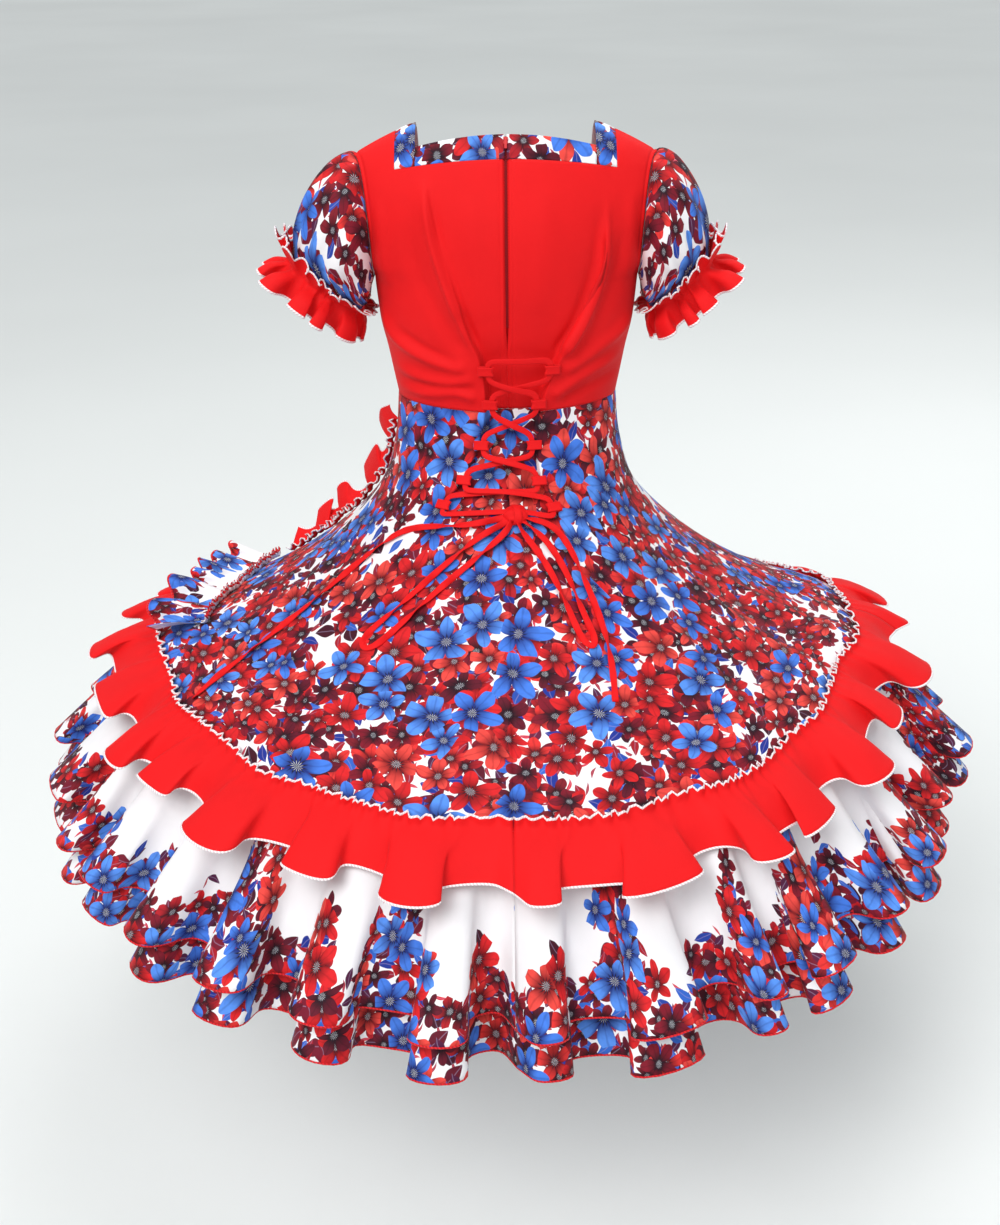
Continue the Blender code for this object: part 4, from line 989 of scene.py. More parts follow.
bodice = {"wall": 0.0012, "fineRows": 10, "fineColumns": 10, "creaseScale": 1.5,
          "creaseEnd": 0.012, "creaseFoot": 0.35, "calmHeights": (-0.065, -0.045),
          "calmReach": 0.15, "openHeights": (-0.275, -0.235), "slitHalf": 0.0013,
          "slitReach": 0.006, "slitDepth": 0.004, "slitWidth": 0.0022, "seamDepth": 0.0012,
          "seamWidth": 0.0016, "stitchLine": 0.0072, "stitchDepth": 0.0007,
          "stitchWidth": 0.0012, "armholeLine": 0.004, "armholeDepth": 0.0010,
          "armholeWidth": 0.0016, "armholeStep": 4}
crease = namedtuple("crease", "points depth width")
backCreases = rowsOf(crease, (
    (((-0.169, -0.226), (-0.14, -0.262), (-0.1, -0.281), (-0.05, -0.291)), 0.0052, 0.0085),
    (((-0.15, -0.246), (-0.11, -0.268), (-0.06, -0.288)), -0.003, 0.007),
    (((-0.15, -0.3), (-0.115, -0.309), (-0.075, -0.312), (-0.043, -0.302)), 0.0036, 0.0075),
    (((-0.146, -0.332), (-0.1, -0.33), (-0.066, -0.324), (-0.04, -0.331)), 0.0034, 0.007),
    (((-0.142, -0.318), (-0.09, -0.318), (-0.05, -0.316)), -0.0022, 0.005),
    (((-0.105, -0.05), (-0.098, -0.11), (-0.078, -0.17), (-0.058, -0.225)), 0.0032, 0.012),
    (((-0.125, -0.11), (-0.112, -0.17), (-0.085, -0.225), (-0.055, -0.27)), -0.0024, 0.011),
    (((-0.16, -0.08), (-0.158, -0.14), (-0.15, -0.195)), 0.002, 0.009),
    (((0.168, -0.236), (0.14, -0.258), (0.108, -0.276), (0.07, -0.298)), 0.0044, 0.009),
    (((0.128, -0.11), (0.118, -0.175), (0.096, -0.235), (0.072, -0.275)), 0.0034, 0.012),
    (((0.15, -0.12), (0.138, -0.18), (0.112, -0.24), (0.08, -0.288)), -0.0026, 0.011),
    (((0.152, -0.286), (0.12, -0.296), (0.085, -0.312), (0.056, -0.33)), 0.0038, 0.008),
    (((0.148, -0.312), (0.11, -0.322), (0.07, -0.338)), -0.0026, 0.006),
    (((0.158, -0.07), (0.156, -0.13), (0.15, -0.19)), 0.0018, 0.009),
    (((0.05, -0.06), (0.046, -0.13), (0.04, -0.22)), 0.0012, 0.014),
    (((-0.048, -0.07), (-0.04, -0.15), (-0.026, -0.23)), 0.0012, 0.013),
    (((-0.102, -0.06), (-0.092, -0.13), (-0.07, -0.2), (-0.046, -0.262)), 0.0028, 0.005),
    (((-0.094, -0.07), (-0.083, -0.135), (-0.06, -0.205), (-0.038, -0.26)), -0.003, 0.0055),
    (((0.127, -0.08), (0.121, -0.16), (0.098, -0.228), (0.07, -0.276)), 0.0028, 0.0055),
    (((0.117, -0.09), (0.111, -0.16), (0.088, -0.226), (0.06, -0.272)), -0.0032, 0.006),
))
frontCreases = rowsOf(crease, (
    (((-0.15, -0.24), (-0.12, -0.27), (-0.1, -0.32)), 0.003, 0.01),
    (((0.15, -0.24), (0.118, -0.275), (0.098, -0.325)), 0.003, 0.01),
    (((-0.165, -0.205), (-0.12, -0.195), (-0.09, -0.19)), 0.0024, 0.009),
    (((0.165, -0.205), (0.122, -0.198), (0.09, -0.188)), 0.0024, 0.009),
    (((-0.07, -0.34), (-0.066, -0.29), (-0.072, -0.25)), 0.002, 0.006),
    (((0.07, -0.34), (0.067, -0.292), (0.074, -0.252)), 0.002, 0.006),
))


def creaseHeights(x, z, creases):
    height = np.zeros_like(x)
    for line in creases:
        points = smoothPath(line.points, 6)
        nearest = np.full(x.shape, 1.0)
        along = np.zeros_like(x)
        for index, (first, second) in enumerate(zip(points[:-1], points[1:])):
            step = second - first
            share = ((x - first[0]) * step[0] + (z - first[1]) * step[1]) / float(step @ step)
            share = np.clip(share, 0.0, 1.0)
            apart = np.hypot(x - first[0] - step[0] * share, z - first[1] - step[1] * share)
            closer = apart < nearest
            nearest = np.where(closer, apart, nearest)
            along = np.where(closer, (index + share) / (len(points) - 1), along)
        fade = np.minimum(eased(along, -0.02, 0.30), 1.0 - eased(along, 0.86, 1.05))
        height = height + line.depth * fade * bell(nearest, line.width)
    return height


def backColumns(side, columns, step):
    edge = readTable(torso[back], "edgeX", step)
    middle = torsoPoints(back, np.zeros_like(step), step)
    reach = foldValues(side, -middle[..., 2])[0]
    neck = mix(mix(reach, edge, 0.45), neckOuter, eased(step, 4.5, backNeckStep))
    places = [np.full_like(step, halfGap * 0.05), reach * 0.5, reach - foldFoot, reach,
              mix(reach, neck, 0.5), neck, mix(neck, edge, outerColumns[0]),
              mix(neck, edge, outerColumns[1]), edge]
    return atColumns(places, columns)


def atColumns(places, columns):
    # Rows of places at whole columns, read at places between them
    result = []
    for column in columns:
        index = min(int(column), len(places) - 2)
        result.append(mix(places[index], places[index + 1], column - index))
    return np.array(result)


def creased(height, wide, step):
    # The creases end short of the side seam and of the waist
    return (bodice["creaseScale"] * height * eased(wide, 0.0, bodice["creaseEnd"])
            * eased(step, 0.0, bodice["creaseFoot"]))


def armholeStitch(wide, step):
    line = bell(wide - bodice["armholeLine"], bodice["armholeWidth"])
    return bodice["armholeDepth"] * line * (step > bodice["armholeStep"])


def bodiceBack(side):
    columns = np.concatenate([[0, 0.012, 0.025, 0.045, 0.07, 0.10, 0.135, 0.17, 0.21, 0.26],
                              np.linspace(0.32, 1.0, 10), np.linspace(1.0, 8.0, 78)[1:]])
    columns = np.unique(np.concatenate([columns, np.arange(9)]))
    rows = np.linspace(0, topStep, topStep * bodice["fineRows"] + 1)
    x = backColumns(side, columns, rows)
    step = np.broadcast_to(rows, x.shape)
    points = torsoPoints(back, side * x, step)
    points[..., 1] -= halfGap
    normals = gridNormals(points, side)
    height = creaseHeights(points[..., 0], points[..., 2], backCreases)
    edge = readTable(torso[back], "edgeX", step)
    height = creased(height, edge - x, step)
    height = height * (1.0 - eased(points[..., 2], *bodice["calmHeights"])
                       * eased(bodice["calmReach"] - x, 0.0, 0.01))
    opened = eased(points[..., 2], *bodice["openHeights"])
    height = height - bodice["slitDepth"] * opened * bell(x, bodice["slitWidth"])
    height = height - bodice["seamDepth"] * (1 - opened) * bell(x, bodice["seamWidth"])
    height = height - bodice["stitchDepth"] * bell(x - bodice["stitchLine"],
                                                   bodice["stitchWidth"])
    height = height - armholeStitch(edge - x, step)
    points = points + normals * height[..., None]
    shift = opened * bodice["slitHalf"] * bell(x, bodice["slitReach"])
    points[..., 0] += side * shift
    middleColumn = (columns[1:] + columns[:-1])[:, None] / 2
    middleRow = (rows[1:] + rows[:-1])[None, :] / 2
    keep = (middleColumn > neckColumn) | (middleRow < backNeckStep)
    clothPiece("bodice_back_" + sideNames[side], points, side, "red", "redShadedInside", bodice,
               keep=keep)


def bodiceFront():
    halfColumns = 6
    rows = np.linspace(0, topStep, topStep * bodice["fineRows"] + 1)
    columns = np.linspace(0, halfColumns, halfColumns * bodice["fineColumns"] + 1)
    edge = readTable(torso[front], "edgeX", rows)
    neck = mix(edge * 0.66, neckOuter, eased(rows, 3.0, frontNeckStep))
    inner = neck * neckInner / neckOuter
    places = [np.zeros_like(rows), inner / 2, inner, neck, mix(neck, edge, outerColumns[0]),
              mix(neck, edge, outerColumns[1]), edge]
    half = atColumns(places, columns)
    x = np.concatenate([-half[:0:-1], half])
    step = np.broadcast_to(rows, x.shape)
    points = torsoPoints(front, x, step)
    points[..., 1] += halfGap
    normals = gridNormals(points, -1)
    height = creaseHeights(points[..., 0], points[..., 2], frontCreases)
    wide = np.broadcast_to(edge, x.shape) - np.abs(x)
    height = creased(height, wide, step) - armholeStitch(wide, step)
    points = points + normals * height[..., None]
    count = np.concatenate([-columns[:0:-1], columns])
    middleColumn = np.abs(count[1:] + count[:-1])[:, None] / 2
    middleRow = (rows[1:] + rows[:-1])[None, :] / 2
    keep = (middleColumn > 3) | (middleRow < frontNeckStep)
    clothPiece("bodice_front", points, -1, "red", "redShadedInside", bodice, keep=keep)


bodiceBack(left)
bodiceBack(right)
bodiceFront()
print("bodice made")


# Neck bands

band = {"wall": 0.0014, "stepHeight": 0.03, "fineRows": 8, "proud": 0.0007,
        "stitchDepth": 0.0006, "stitchLine": 0.12, "stitchWidth": 0.05}


def bandShape(points, sign, across):
    # A pressed band: softly proud in its middle, pulled down along its sewn edge
    rows = np.linspace(0.0, 1.0, points.shape[across])
    shape = [1, 1, 1]
    shape[across] = len(rows)
    height = band["proud"] * np.sin(np.pi * rows)
    for line in (band["stitchLine"], 1.0 - band["stitchLine"]):
        height = height - band["stitchDepth"] * bell(rows - line, band["stitchWidth"])
    height = height.reshape(shape)
    return points + gridNormals(points, sign) * height


def bandPiece(end, points, sign, uv=None):
    clothPiece("neck_band_" + end, points, sign, "band", "sleeveInside", band,
               uv=uv)


def neckBandBack(side):
    columns = np.linspace(halfGap, neckInner - seamGap, 46)[:, None]
    rows = np.linspace(backNeckStep + backBandStart, backNeckStep + backBandRise, 19)[None, :]
    points = torsoPoints(back, side * columns, rows)
    points[..., 0] += side * bodice["slitHalf"] * bell(columns, bodice["slitReach"])
    points = bandShape(points, side, 1)
    uv = np.stack(np.broadcast_arrays(side * columns, rows * band["stepHeight"]), -1)
    bandPiece("back_" + sideNames[side], points, side, uv)


def neckBandFront():
    reach = neckInner - seamGap
    columns = np.linspace(-reach, reach, 80)[:, None]
    rows = np.linspace(frontNeckStep + frontBandStart, frontNeckStep + frontBandRise, 19)[None, :]
    points = bandShape(torsoPoints(front, columns, rows), -1, 1)
    bandPiece("front", points, -1)


def neckBandSide(side):
    backSteps = [backNeckStep + backBandStart, 9, 10, topStep]
    frontSteps = [10, 9, 8, 7, frontNeckStep + frontBandStart]
    x = np.linspace(neckInner, neckOuter - seamGap, 17)[:, None]
    rows = []
    for half, steps in ((back, backSteps), (front, [topStep] + frontSteps)):
        for first, second in zip(steps[:-1], steps[1:]):
            rows += [torsoPoints(half, side * x[:, 0], step)
                     for step in np.linspace(first, second, band["fineRows"], endpoint=False)]
    rows.append(torsoPoints(front, side * x[:, 0], frontSteps[-1]))
    points = bandShape(np.stack(rows, axis=1), side, 0)
    bandPiece(sideNames[side], points, side)


neckBandBack(left)
neckBandBack(right)
neckBandFront()
neckBandSide(left)
neckBandSide(right)
print("neck bands made")


# Overskirt

overskirt = {"wall": 0.0012, "fineColumns": 8, "fineRows": 12, "patternShare": 0.57,
             "patternRadius": 0.223, "foldGrowth": 0.22, "puckers": 92,
             "puckerDepth": 0.0009, "puckerSlants": (0.535, 0.560),
             "hemCalm": 0.5, "hemSlants": (0.500, 0.545)}
gapShare = 0.02
skirtCreases = rowsOf(crease, (
    (((-0.15, -0.392), (-0.105, -0.398), (-0.06, -0.392)), 0.003, 0.0075),
    (((-0.158, -0.42), (-0.11, -0.428), (-0.07, -0.43)), 0.0028, 0.0075),
    (((-0.135, -0.372), (-0.09, -0.375), (-0.05, -0.382)), -0.002, 0.006),
    (((-0.15, -0.47), (-0.12, -0.455), (-0.08, -0.44)), 0.0026, 0.0085),
    (((0.15, -0.388), (0.105, -0.398), (0.06, -0.394)), 0.003, 0.0075),
    (((0.15, -0.425), (0.105, -0.428), (0.066, -0.434)), 0.0028, 0.0075),
    (((0.14, -0.368), (0.096, -0.378), (0.056, -0.386)), -0.002, 0.006),
    (((0.16, -0.475), (0.13, -0.46), (0.092, -0.456)), 0.0026, 0.0085),
    (((-0.02, -0.4), (-0.014, -0.44), (-0.016, -0.48)), 0.0022, 0.005),
    (((0.022, -0.39), (0.018, -0.43), (0.024, -0.48)), 0.0022, 0.005),
))
softFold = namedtuple("softFold", "azimuth lean width depth start")
softFolds = rowsOf(softFold, (
    (-150, 6, 3.0, 0.0035, 0.2), (-126, -5, 2.6, 0.004, 0.16), (-98, 4, 2.4, 0.0035, 0.22),
    (-72, -6, 2.4, 0.0045, 0.12), (-63, -8, 1.8, -0.003, 0.14), (-49, -5, 2.2, 0.0045, 0.16),
    (-33, -6, 2.0, 0.0035, 0.2), (-24, 3, 1.7, -0.0025, 0.26), (-9, 2, 1.8, 0.003, 0.24),
    (3, -1, 1.6, -0.0028, 0.2), (17, 3, 2.0, 0.0035, 0.22), (28, 5, 1.8, -0.0028, 0.2),
    (41, 7, 2.2, 0.0045, 0.14), (52, 8, 2.0, -0.0032, 0.14), (63, 8, 2.4, 0.0045, 0.12),
    (78, 5, 2.2, 0.0038, 0.16), (96, -4, 2.6, 0.0035, 0.22), (122, 5, 2.6, 0.004, 0.16),
    (148, -6, 3.0, 0.0035, 0.2), (172, 4, 2.8, 0.0035, 0.22),
))


def skirtDetail(azimuth, slant, x, z):
    # Smaller folds than the solid's own: pulls of the lacing, soft folds and hem puckers
    height = np.zeros_like(x)
    for fold in softFolds:
        middle = fold.azimuth + fold.lean * (slant - 0.3)
        turn = (azimuth - middle + 180) % 360 - 180
        grown = eased(slant, fold.start, fold.start + overskirt["foldGrowth"])
        height = height + fold.depth * grown * bell(turn, fold.width)
    facingBack = np.cos(np.radians(azimuth)) > 0
    height = height + creaseHeights(x, z, skirtCreases) * facingBack * eased(slant, 0.0, 0.02)
    angle = np.radians(azimuth)
    pucker = np.sin(angle * overskirt["puckers"] + 2.2 * np.sin(angle * 11))
    grown = eased(slant, *overskirt["puckerSlants"])
    height = height + overskirt["puckerDepth"] * pucker * grown
    return height * (1.0 - overskirt["hemCalm"] * eased(slant, *overskirt["hemSlants"]))


def overskirtAzimuths(side, columns, slant):
    middle = skirtPoints(np.zeros_like(slant), slant)
    halfWidth = readTable(skirtRows, "halfWidth", slant)
    reach = foldValues(side, -middle[..., 2])[0]
    crest = np.degrees(np.arcsin(np.minimum(reach / halfWidth, 0.9)))
    foot = np.degrees(np.arcsin(np.minimum((reach - foldFoot) / halfWidth, 0.9)))
    inner = [np.zeros_like(slant), foot / 2, foot, crest]
    outer = [mix(crest, 90.0, number / (backColumnCount - 3))
             for number in range(1, backColumnCount - 2)]
    follow = atColumns(inner + outer, columns)
    even = 90 * columns[:, None] / backColumnCount
    return mix(follow, even, eased(slant, *foldEndSlants))


def gapTurn(slant):
    # The thin shells part far less at the seams than the solids do
    turn = np.degrees(halfGap * slantedGap / readTable(skirtRows, "halfWidth", slant))
    return turn * gapShare


def patternUv(azimuth, slant):
    # The skirt laid flat as part of a ring, so that the print doesn't stretch
    angle = np.radians(azimuth) * overskirt["patternShare"]
    radius = overskirt["patternRadius"] + slant
    return np.stack([radius * np.sin(angle), radius * np.cos(angle)], -1)


def overskirtPiece(name, azimuth, slant, sign):
    points = skirtPoints(azimuth, slant)
    normals = gridNormals(points, sign)
    detail = skirtDetail(azimuth, slant, points[..., 0], points[..., 2])
    points = points + normals * detail[..., None]
    clothPiece(name, points, sign, "overskirt", "overskirtInside", overskirt,
               uv=patternUv(azimuth, slant))


def overskirtRows():
    places = np.linspace(0, len(overskirtSlants) - 1,
                         (len(overskirtSlants) - 1) * overskirt["fineRows"] + 1)
    return np.interp(places, np.arange(len(overskirtSlants)), overskirtSlants)


def overskirtBack(side):
    slant = overskirtRows()
    columns = np.linspace(0, backColumnCount, backColumnCount * overskirt["fineColumns"] + 1)
    azimuth = overskirtAzimuths(side, columns, slant)
    turn = gapTurn(slant)
    azimuth = side * np.clip(azimuth, turn, 90 - turn)
    overskirtPiece("overskirt_back_" + sideNames[side], azimuth,
                   np.broadcast_to(slant, azimuth.shape), -side)


def overskirtFront():
    slant = overskirtRows()
    columns = np.linspace(0.0, 1.0, frontColumnCount * overskirt["fineColumns"] + 1)[:, None]
    turn = gapTurn(slant)
    azimuth = mix(90 + turn, 270 - turn, columns)
    overskirtPiece("overskirt_front", azimuth, np.broadcast_to(slant, azimuth.shape), -1)


overskirtBack(left)
overskirtBack(right)
overskirtFront()
print("overskirt made")


# Ruffles and flounces


def uneven(index, spread):
    return 1.0 + spread * (0.6 * np.sin(2.4 * index) + 0.4 * np.sin(5.3 * index + 1.0))


def wavePlan(count, spread=0.28):
    widths = uneven(np.arange(count), spread)
    starts = np.concatenate([[0.0], np.cumsum(widths / widths.sum())])
    return starts, uneven(np.arange(count) + 7, 0.32)


def frillGrid(rows, plan, surface, settings, calm=None):
    # The gathered strip as a fine grid: main waves, their folds, and gathers along the seam
    starts, depths = plan
    count = len(depths)
    column = np.linspace(0, count, count * settings["fine"] + 1)[:, None]
    row = np.linspace(0, len(rows) - 1, (len(rows) - 1) * settings["tall"] + 1)[None, :]
    keys = np.arange(len(rows))
    slant = readCurve(keys, [one.slant for one in rows], row)
    lift = readCurve(keys, [one.lift for one in rows], row)
    swing = np.maximum(readCurve(keys, [one.swing for one in rows], row), 0.0)
    most = max(one.swing for one in rows)
    lift = lift + settings["raised"] * swing / most
    swing, most = swing * settings["swung"], most * settings["swung"]
    depth = np.interp(column, np.arange(count) + 0.5, depths)
    calmEnds = eased(np.minimum(column, count - column), 0.0, 0.6)
    curl = settings["folding"] * uneven(column * 1.3 + 2, 0.7) * np.minimum(swing / most, 1.0)
    curl = curl * calmEnds
    lean = settings["lean"] * np.sin(column * 1.9 + 0.7) * swing / most * calmEnds
    apart = np.abs(slant - settings["seam"])
    seam = np.exp(-apart / settings["gatherFade"])
    tight = 2 * np.pi * settings["gathers"] * column + 1.6 * np.sin(column * 2.3)
    header = 0.0
    if settings["header"]:
        beyond = (slant - settings["seam"]) * settings["headerSign"]
        header = eased(beyond, 0.0, settings["headerReach"])
    folded = column - curl * np.sin(4 * np.pi * column) - lean
    puckers = settings["headerFold"] * np.sin(2 * tight) * calmEnds / settings["gathers"]
    folded = folded - header * puckers
    along = readCurve(np.arange(count + 1), starts, np.clip(folded, 0.0, count))
    wave = swing * depth * (np.sin(2 * np.pi * column)
                            + settings["alternate"] * np.sin(np.pi * column))
    wave = wave * (1.0 - header * settings["headerCalm"])
    wave = wave + settings["gather"] * seam * np.sin(tight) * (1.0 - header)
    wave = wave + header * settings["headerSwing"] * uneven(column * 3.1, 0.4) * np.sin(tight)
    if calm:
        wave = wave * calm(np.broadcast_to(along, wave.shape))
    slant = slant + header * settings["headerWander"] * np.sin(tight * 2 + 1.0) * calmEnds
    point, normal = surface(along, np.broadcast_to(slant, wave.shape))
    swung = normal * np.array([1.0, 1.0, 1.0 - settings["level"]])
    return point + normal * lift[..., None] + unit(swung) * wave[..., None]


def frillUv(points):
    # The widest row sets the width of them all, as on a strip before it is gathered
    uv = arcUv(points)
    widest = np.argmax(np.abs(uv[-1, :, 0] - uv[0, :, 0]))
    uv[..., 0] = uv[:, widest:widest + 1, 0]
    return uv


hemRuffle = {"wall": 0.0011, "beadWidth": 0.0036, "beadThickness": 0.0021, "fine": 30,
             "tall": 6, "folding": 0.135, "lean": 0.12, "alternate": 0.3, "seam": 0.562,
             "gatherFade": 0.019, "gathers": 5.5, "gather": 0.0017, "raised": 0.005,
             "swung": 1.55,
             "level": 0.9, "header": True, "headerWander": 0.0028, "headerSign": -1,
             "headerReach": 0.014, "headerFold": 0.05, "headerSwing": 0.0036,
             "headerCalm": 0.7}
upperFlounce = {"wall": 0.0010, "beadWidth": 0.0026, "beadThickness": 0.0019, "fine": 24,
                "tall": 14, "folding": 0.105, "lean": 0.06, "seam": 0.565, "gatherFade": 0.03,
                "gathers": 3.0, "gather": 0.0010, "level": 0.7, "swung": 1.12, "raised": 0.0,
                "alternate": 0.0, "header": False, "headerWander": 0.0, "headerFold": 0.0,
                "headerSwing": 0.0, "headerCalm": 0.0}
lowerFlounce = dict(upperFlounce, folding=0.11, lean=0.05)
whiteEdges = ((0, "whiteThread"), (-1, "whiteThread"))
redHem = ((0, "redThread"),)
quarters = (("back_left", -90.0), ("back_right", 0.0), ("front_right", 90.0),
            ("front_left", 180.0))


def skirtFrills(name, rows, waves, settings, outside, inside, beads):
    for index, (quarter, start) in enumerate(quarters):
        share = waves // 4 + (1 if index < waves % 4 else 0)

        def surface(place, slant):
            turn = gapTurn(slant)
            azimuth = mix(start + turn, start + 90 - turn, place)
            return skirtPoints(azimuth, slant), skirtNormals(azimuth, slant)

        points = frillGrid(rows, wavePlan(share), surface, settings)
        uv = frillUv(points)
        uv[..., 0] += index * 1.7
        clothPiece(name + "_" + quarter, points, 1, outside, inside, settings, uv=uv,
                   beads=beads)


skirtFrills("hem_ruffle", hemRuffleRows, hemRuffleWaves, hemRuffle, "red", "redShadedInside",
            whiteEdges)
skirtFrills("flounce_upper", upperFlounceRows, flounceWaves, upperFlounce, "flounce",
            "flounceInside", redHem)
skirtFrills("flounce_lower", lowerFlounceRows, flounceWaves, lowerFlounce, "lowerFlounce",
            "flounceInside", redHem)
print("hem ruffle and flounces made")

sideRuffle = dict(hemRuffle, seam=0.0, headerReach=0.009, gatherFade=0.009, folding=0.12,
                  waves=4, swung=1.3, raised=0.0, level=0.0)
sideFlounce = dict(hemRuffle, seam=0.0, headerReach=0.009, gatherFade=0.012, folding=0.08,
                   fine=28, tall=8, waves=6, swung=1.1, raised=0.0, level=0.3)


def sideStrip(name, rows, waves, path, forward, settings, outside, inside, beads):
    def surface(place, reach):
        azimuth = readTable(path, "azimuth", place)
        slant = readTable(path, "slant", place)
        if forward:
            width = readTable(skirtRows, "halfWidth", slant)
            azimuth = azimuth - np.degrees(reach / width)
        else:
            slant = slant + reach
        return skirtPoints(azimuth, slant), skirtNormals(azimuth, slant)

    points = frillGrid(rows, wavePlan(waves), surface, settings)
    clothPiece(name, points, 1, outside, inside, settings, uv=frillUv(points),
               beads=beads)


sideStrip("side_ruffle", sideRuffleRows, sideRuffle["waves"], sideRufflePath, True, sideRuffle,
          "red", "redShadedInside", whiteEdges)
sideStrip("side_flounce", sideFlounceRows, sideFlounce["waves"], sideFlouncePath, False,
          sideFlounce, "sideFlounce", "flounceInside",
          ((0, "redThread"), (-1, "redThread")))
print("side ruffle and flounce made")


# Sleeves

sleeve = {"wall": 0.0011, "fine": 8, "tall": 10, "gathers": 30, "folds": 13,
          "topGather": 0.0015, "topFade": 0.12, "middleFold": 0.0030, "topFold": 0.0016,
          "cuffGather": 0.0008, "cuffPull": 0.0012}
sleeveRuffle = dict(hemRuffle, fine=26, tall=8, folding=0.16, lean=0.10, seam=0.0,
                    raised=0.006, swung=1.85, level=0.0,
                    gatherFade=0.008, gathers=2.0, headerReach=0.014, headerFold=0.06,
                    headerSwing=0.0050, headerCalm=0.3)


def sleeveFrame(side):
    outer, inner = (np.array(end) for end in sleeveCuff[side])
    half = (outer - inner) / 2
    wayOut = unit(np.array([half[2], 0.0, -half[0]]))
    return (outer + inner) / 2, half, wayOut


def sleevePoints(side, turn, share):
    turn, share = np.broadcast_arrays(np.asarray(turn, float), np.asarray(share, float))
    angle = np.radians(turn)
    middle, half, _ = sleeveFrame(side)
    start = armholePoints(np.minimum(turn, 360 - turn), np.where(turn <= 180, back, front))
    start = start + np.array([2 * seamGap, 0.0, 0.0])
    holeMiddle = (armholePoints(0, back) + armholePoints(180, back)) / 2
    cuff = middle - half * np.cos(angle)[..., None]
    cuff[..., 1] -= cuffHalfDepth * np.sin(angle)
    point = mix(start, cuff, share[..., None])
    outward = unit(point - mix(holeMiddle, middle, share[..., None]))
    fullness = (1.0 - np.cos(angle)) / 2 + sleeveSideFullness * np.abs(np.sin(angle))
    puff = np.maximum(np.sin(np.pi * np.maximum(share, 0.0) ** sleevePuffBend), -1.0)
    point = point + outward * (sleevePuff * fullness * puff)[..., None]
    point[..., 0] *= side
    return point


def makeSleeve(side):
    backTurns = [row.turn for row in backRows if row.turn is not None]
    frontTurns = [360 - row.turn for row in frontRows if row.turn is not None]
    turns = backTurns + frontTurns[-2::-1]
    turns[0] += sleeveSeamTurn
    turns[-1] -= sleeveSeamTurn
    places = np.linspace(0, len(turns) - 1, (len(turns) - 1) * sleeve["fine"] + 1)
    turn = np.interp(places, np.arange(len(turns)), turns)[:, None]
    share = np.linspace(1.0, 0.0, sleeveRows * sleeve["tall"] + 1)[None, :]
    points = sleevePoints(side, turn, share)
    angle = np.radians(turn)
    top = (1.0 - np.cos(angle)) / 2
    gathers = np.sin(angle * sleeve["gathers"] + 2.0 * np.sin(angle * 5))
    folds = np.sin(angle * sleeve["folds"] + 1.5 * np.sin(angle * 3 + side))
    fading = np.exp(-share / sleeve["topFade"]) * eased(share, 0.0, 0.05)
    height = sleeve["topGather"] * gathers * top * fading
    height = height + (sleeve["middleFold"] * folds * eased(share, 0.30, 0.65)
                       * (1 - eased(share, 0.74, 0.88)))
    height = height + (sleeve["topFold"] * folds * top * (1 - eased(share, 0.2, 0.6))
                       * eased(share, 0, 0.1))
    height = height + (sleeve["cuffGather"] * gathers * eased(share, 0.70, 0.85)
                       - sleeve["cuffPull"] * eased(share, 0.8, 0.9))
    points = points + gridNormals(points, side) * height[..., None]
    clothPiece("sleeve_" + sideNames[side], points, side, "sleeve", "sleeveInside", sleeve)


def makeSleeveRuffle(side):
    middle, _, wayOut = sleeveFrame(side)
    middle, wayOut = (part * np.array([side, 0.0, 1.0]) for part in (middle, wayOut))

    def surface(place, slant):
        turn = mix(sleeveSeamTurn, 360 - sleeveSeamTurn, place)
        point = sleevePoints(side, turn, 1.0 + np.minimum(slant, 0.0) / sleeveLength)
        outward = point - middle
        outward = outward - wayOut * (outward @ wayOut)[..., None]
        return point + wayOut * np.maximum(slant, 0.0)[..., None], unit(outward)

    def calm(place):
        return mix(armpitSwing, 1.0, eased(np.minimum(place, 1.0 - place), *armpitPlaces))

    points = frillGrid(sleeveRuffleRows, wavePlan(sleeveRuffleWaves), surface, sleeveRuffle,
                       calm)
    clothPiece("sleeve_ruffle_" + sideNames[side], points, side, "red", "redShadedInside",
               sleeveRuffle, uv=frillUv(points),
               beads=whiteEdges)


for wearerSide in (left, right):
    makeSleeve(wearerSide)
    makeSleeveRuffle(wearerSide)
print("sleeves made")


# Lacing: loops, the lace through them, and the knot


def backSurface(x, height, laced=True):
    waist = backRows[0].height
    low, high = (0.0, 8.0) if height > waist else (0.0, 0.30)
    for _ in range(30):
        probe = (low + high) / 2
        if height > waist:
            point = torsoPoints(back, x, probe, laced)
            below = point[2] < height
        else:
            halfWidth = readTable(skirtRows, "halfWidth", probe)
            point = skirtPoints(np.degrees(np.arcsin(x / halfWidth)), probe, laced)
            below = point[2] > height
        low, high = (probe, high) if below else (low, probe)
    return point


def backFrame(x, height):
    reach = 0.006
    middle = backSurface(x, height, False)
    up = backSurface(x, height + reach, False) - backSurface(x, height - reach, False)
    across = backSurface(x + reach, height, False) - backSurface(x - reach, height, False)
    return middle, unit(np.cross(across, up)), unit(up)


def loopFrame(side, height):
    reach, strength = foldValues(side, -height)
    start, out, up = backFrame(side * reach, height)
    start = start + out * (foldCrest * strength + loopSeat)
    inner, outInner, _ = backFrame(side * (reach - loopLength), height)
    inner = inner + outInner * (foldCrest * strength + loopSeat)
    towards = unit(inner - start)
    up = unit(up - towards * (up @ towards))
    out = np.cross(towards, up) if side == left else np.cross(up, towards)
    return start, towards, up, unit(out)


loopLook = {"wall": 0.0009, "segments": 28, "tall": 8, "pinch": 0.10, "endDip": 0.0008}


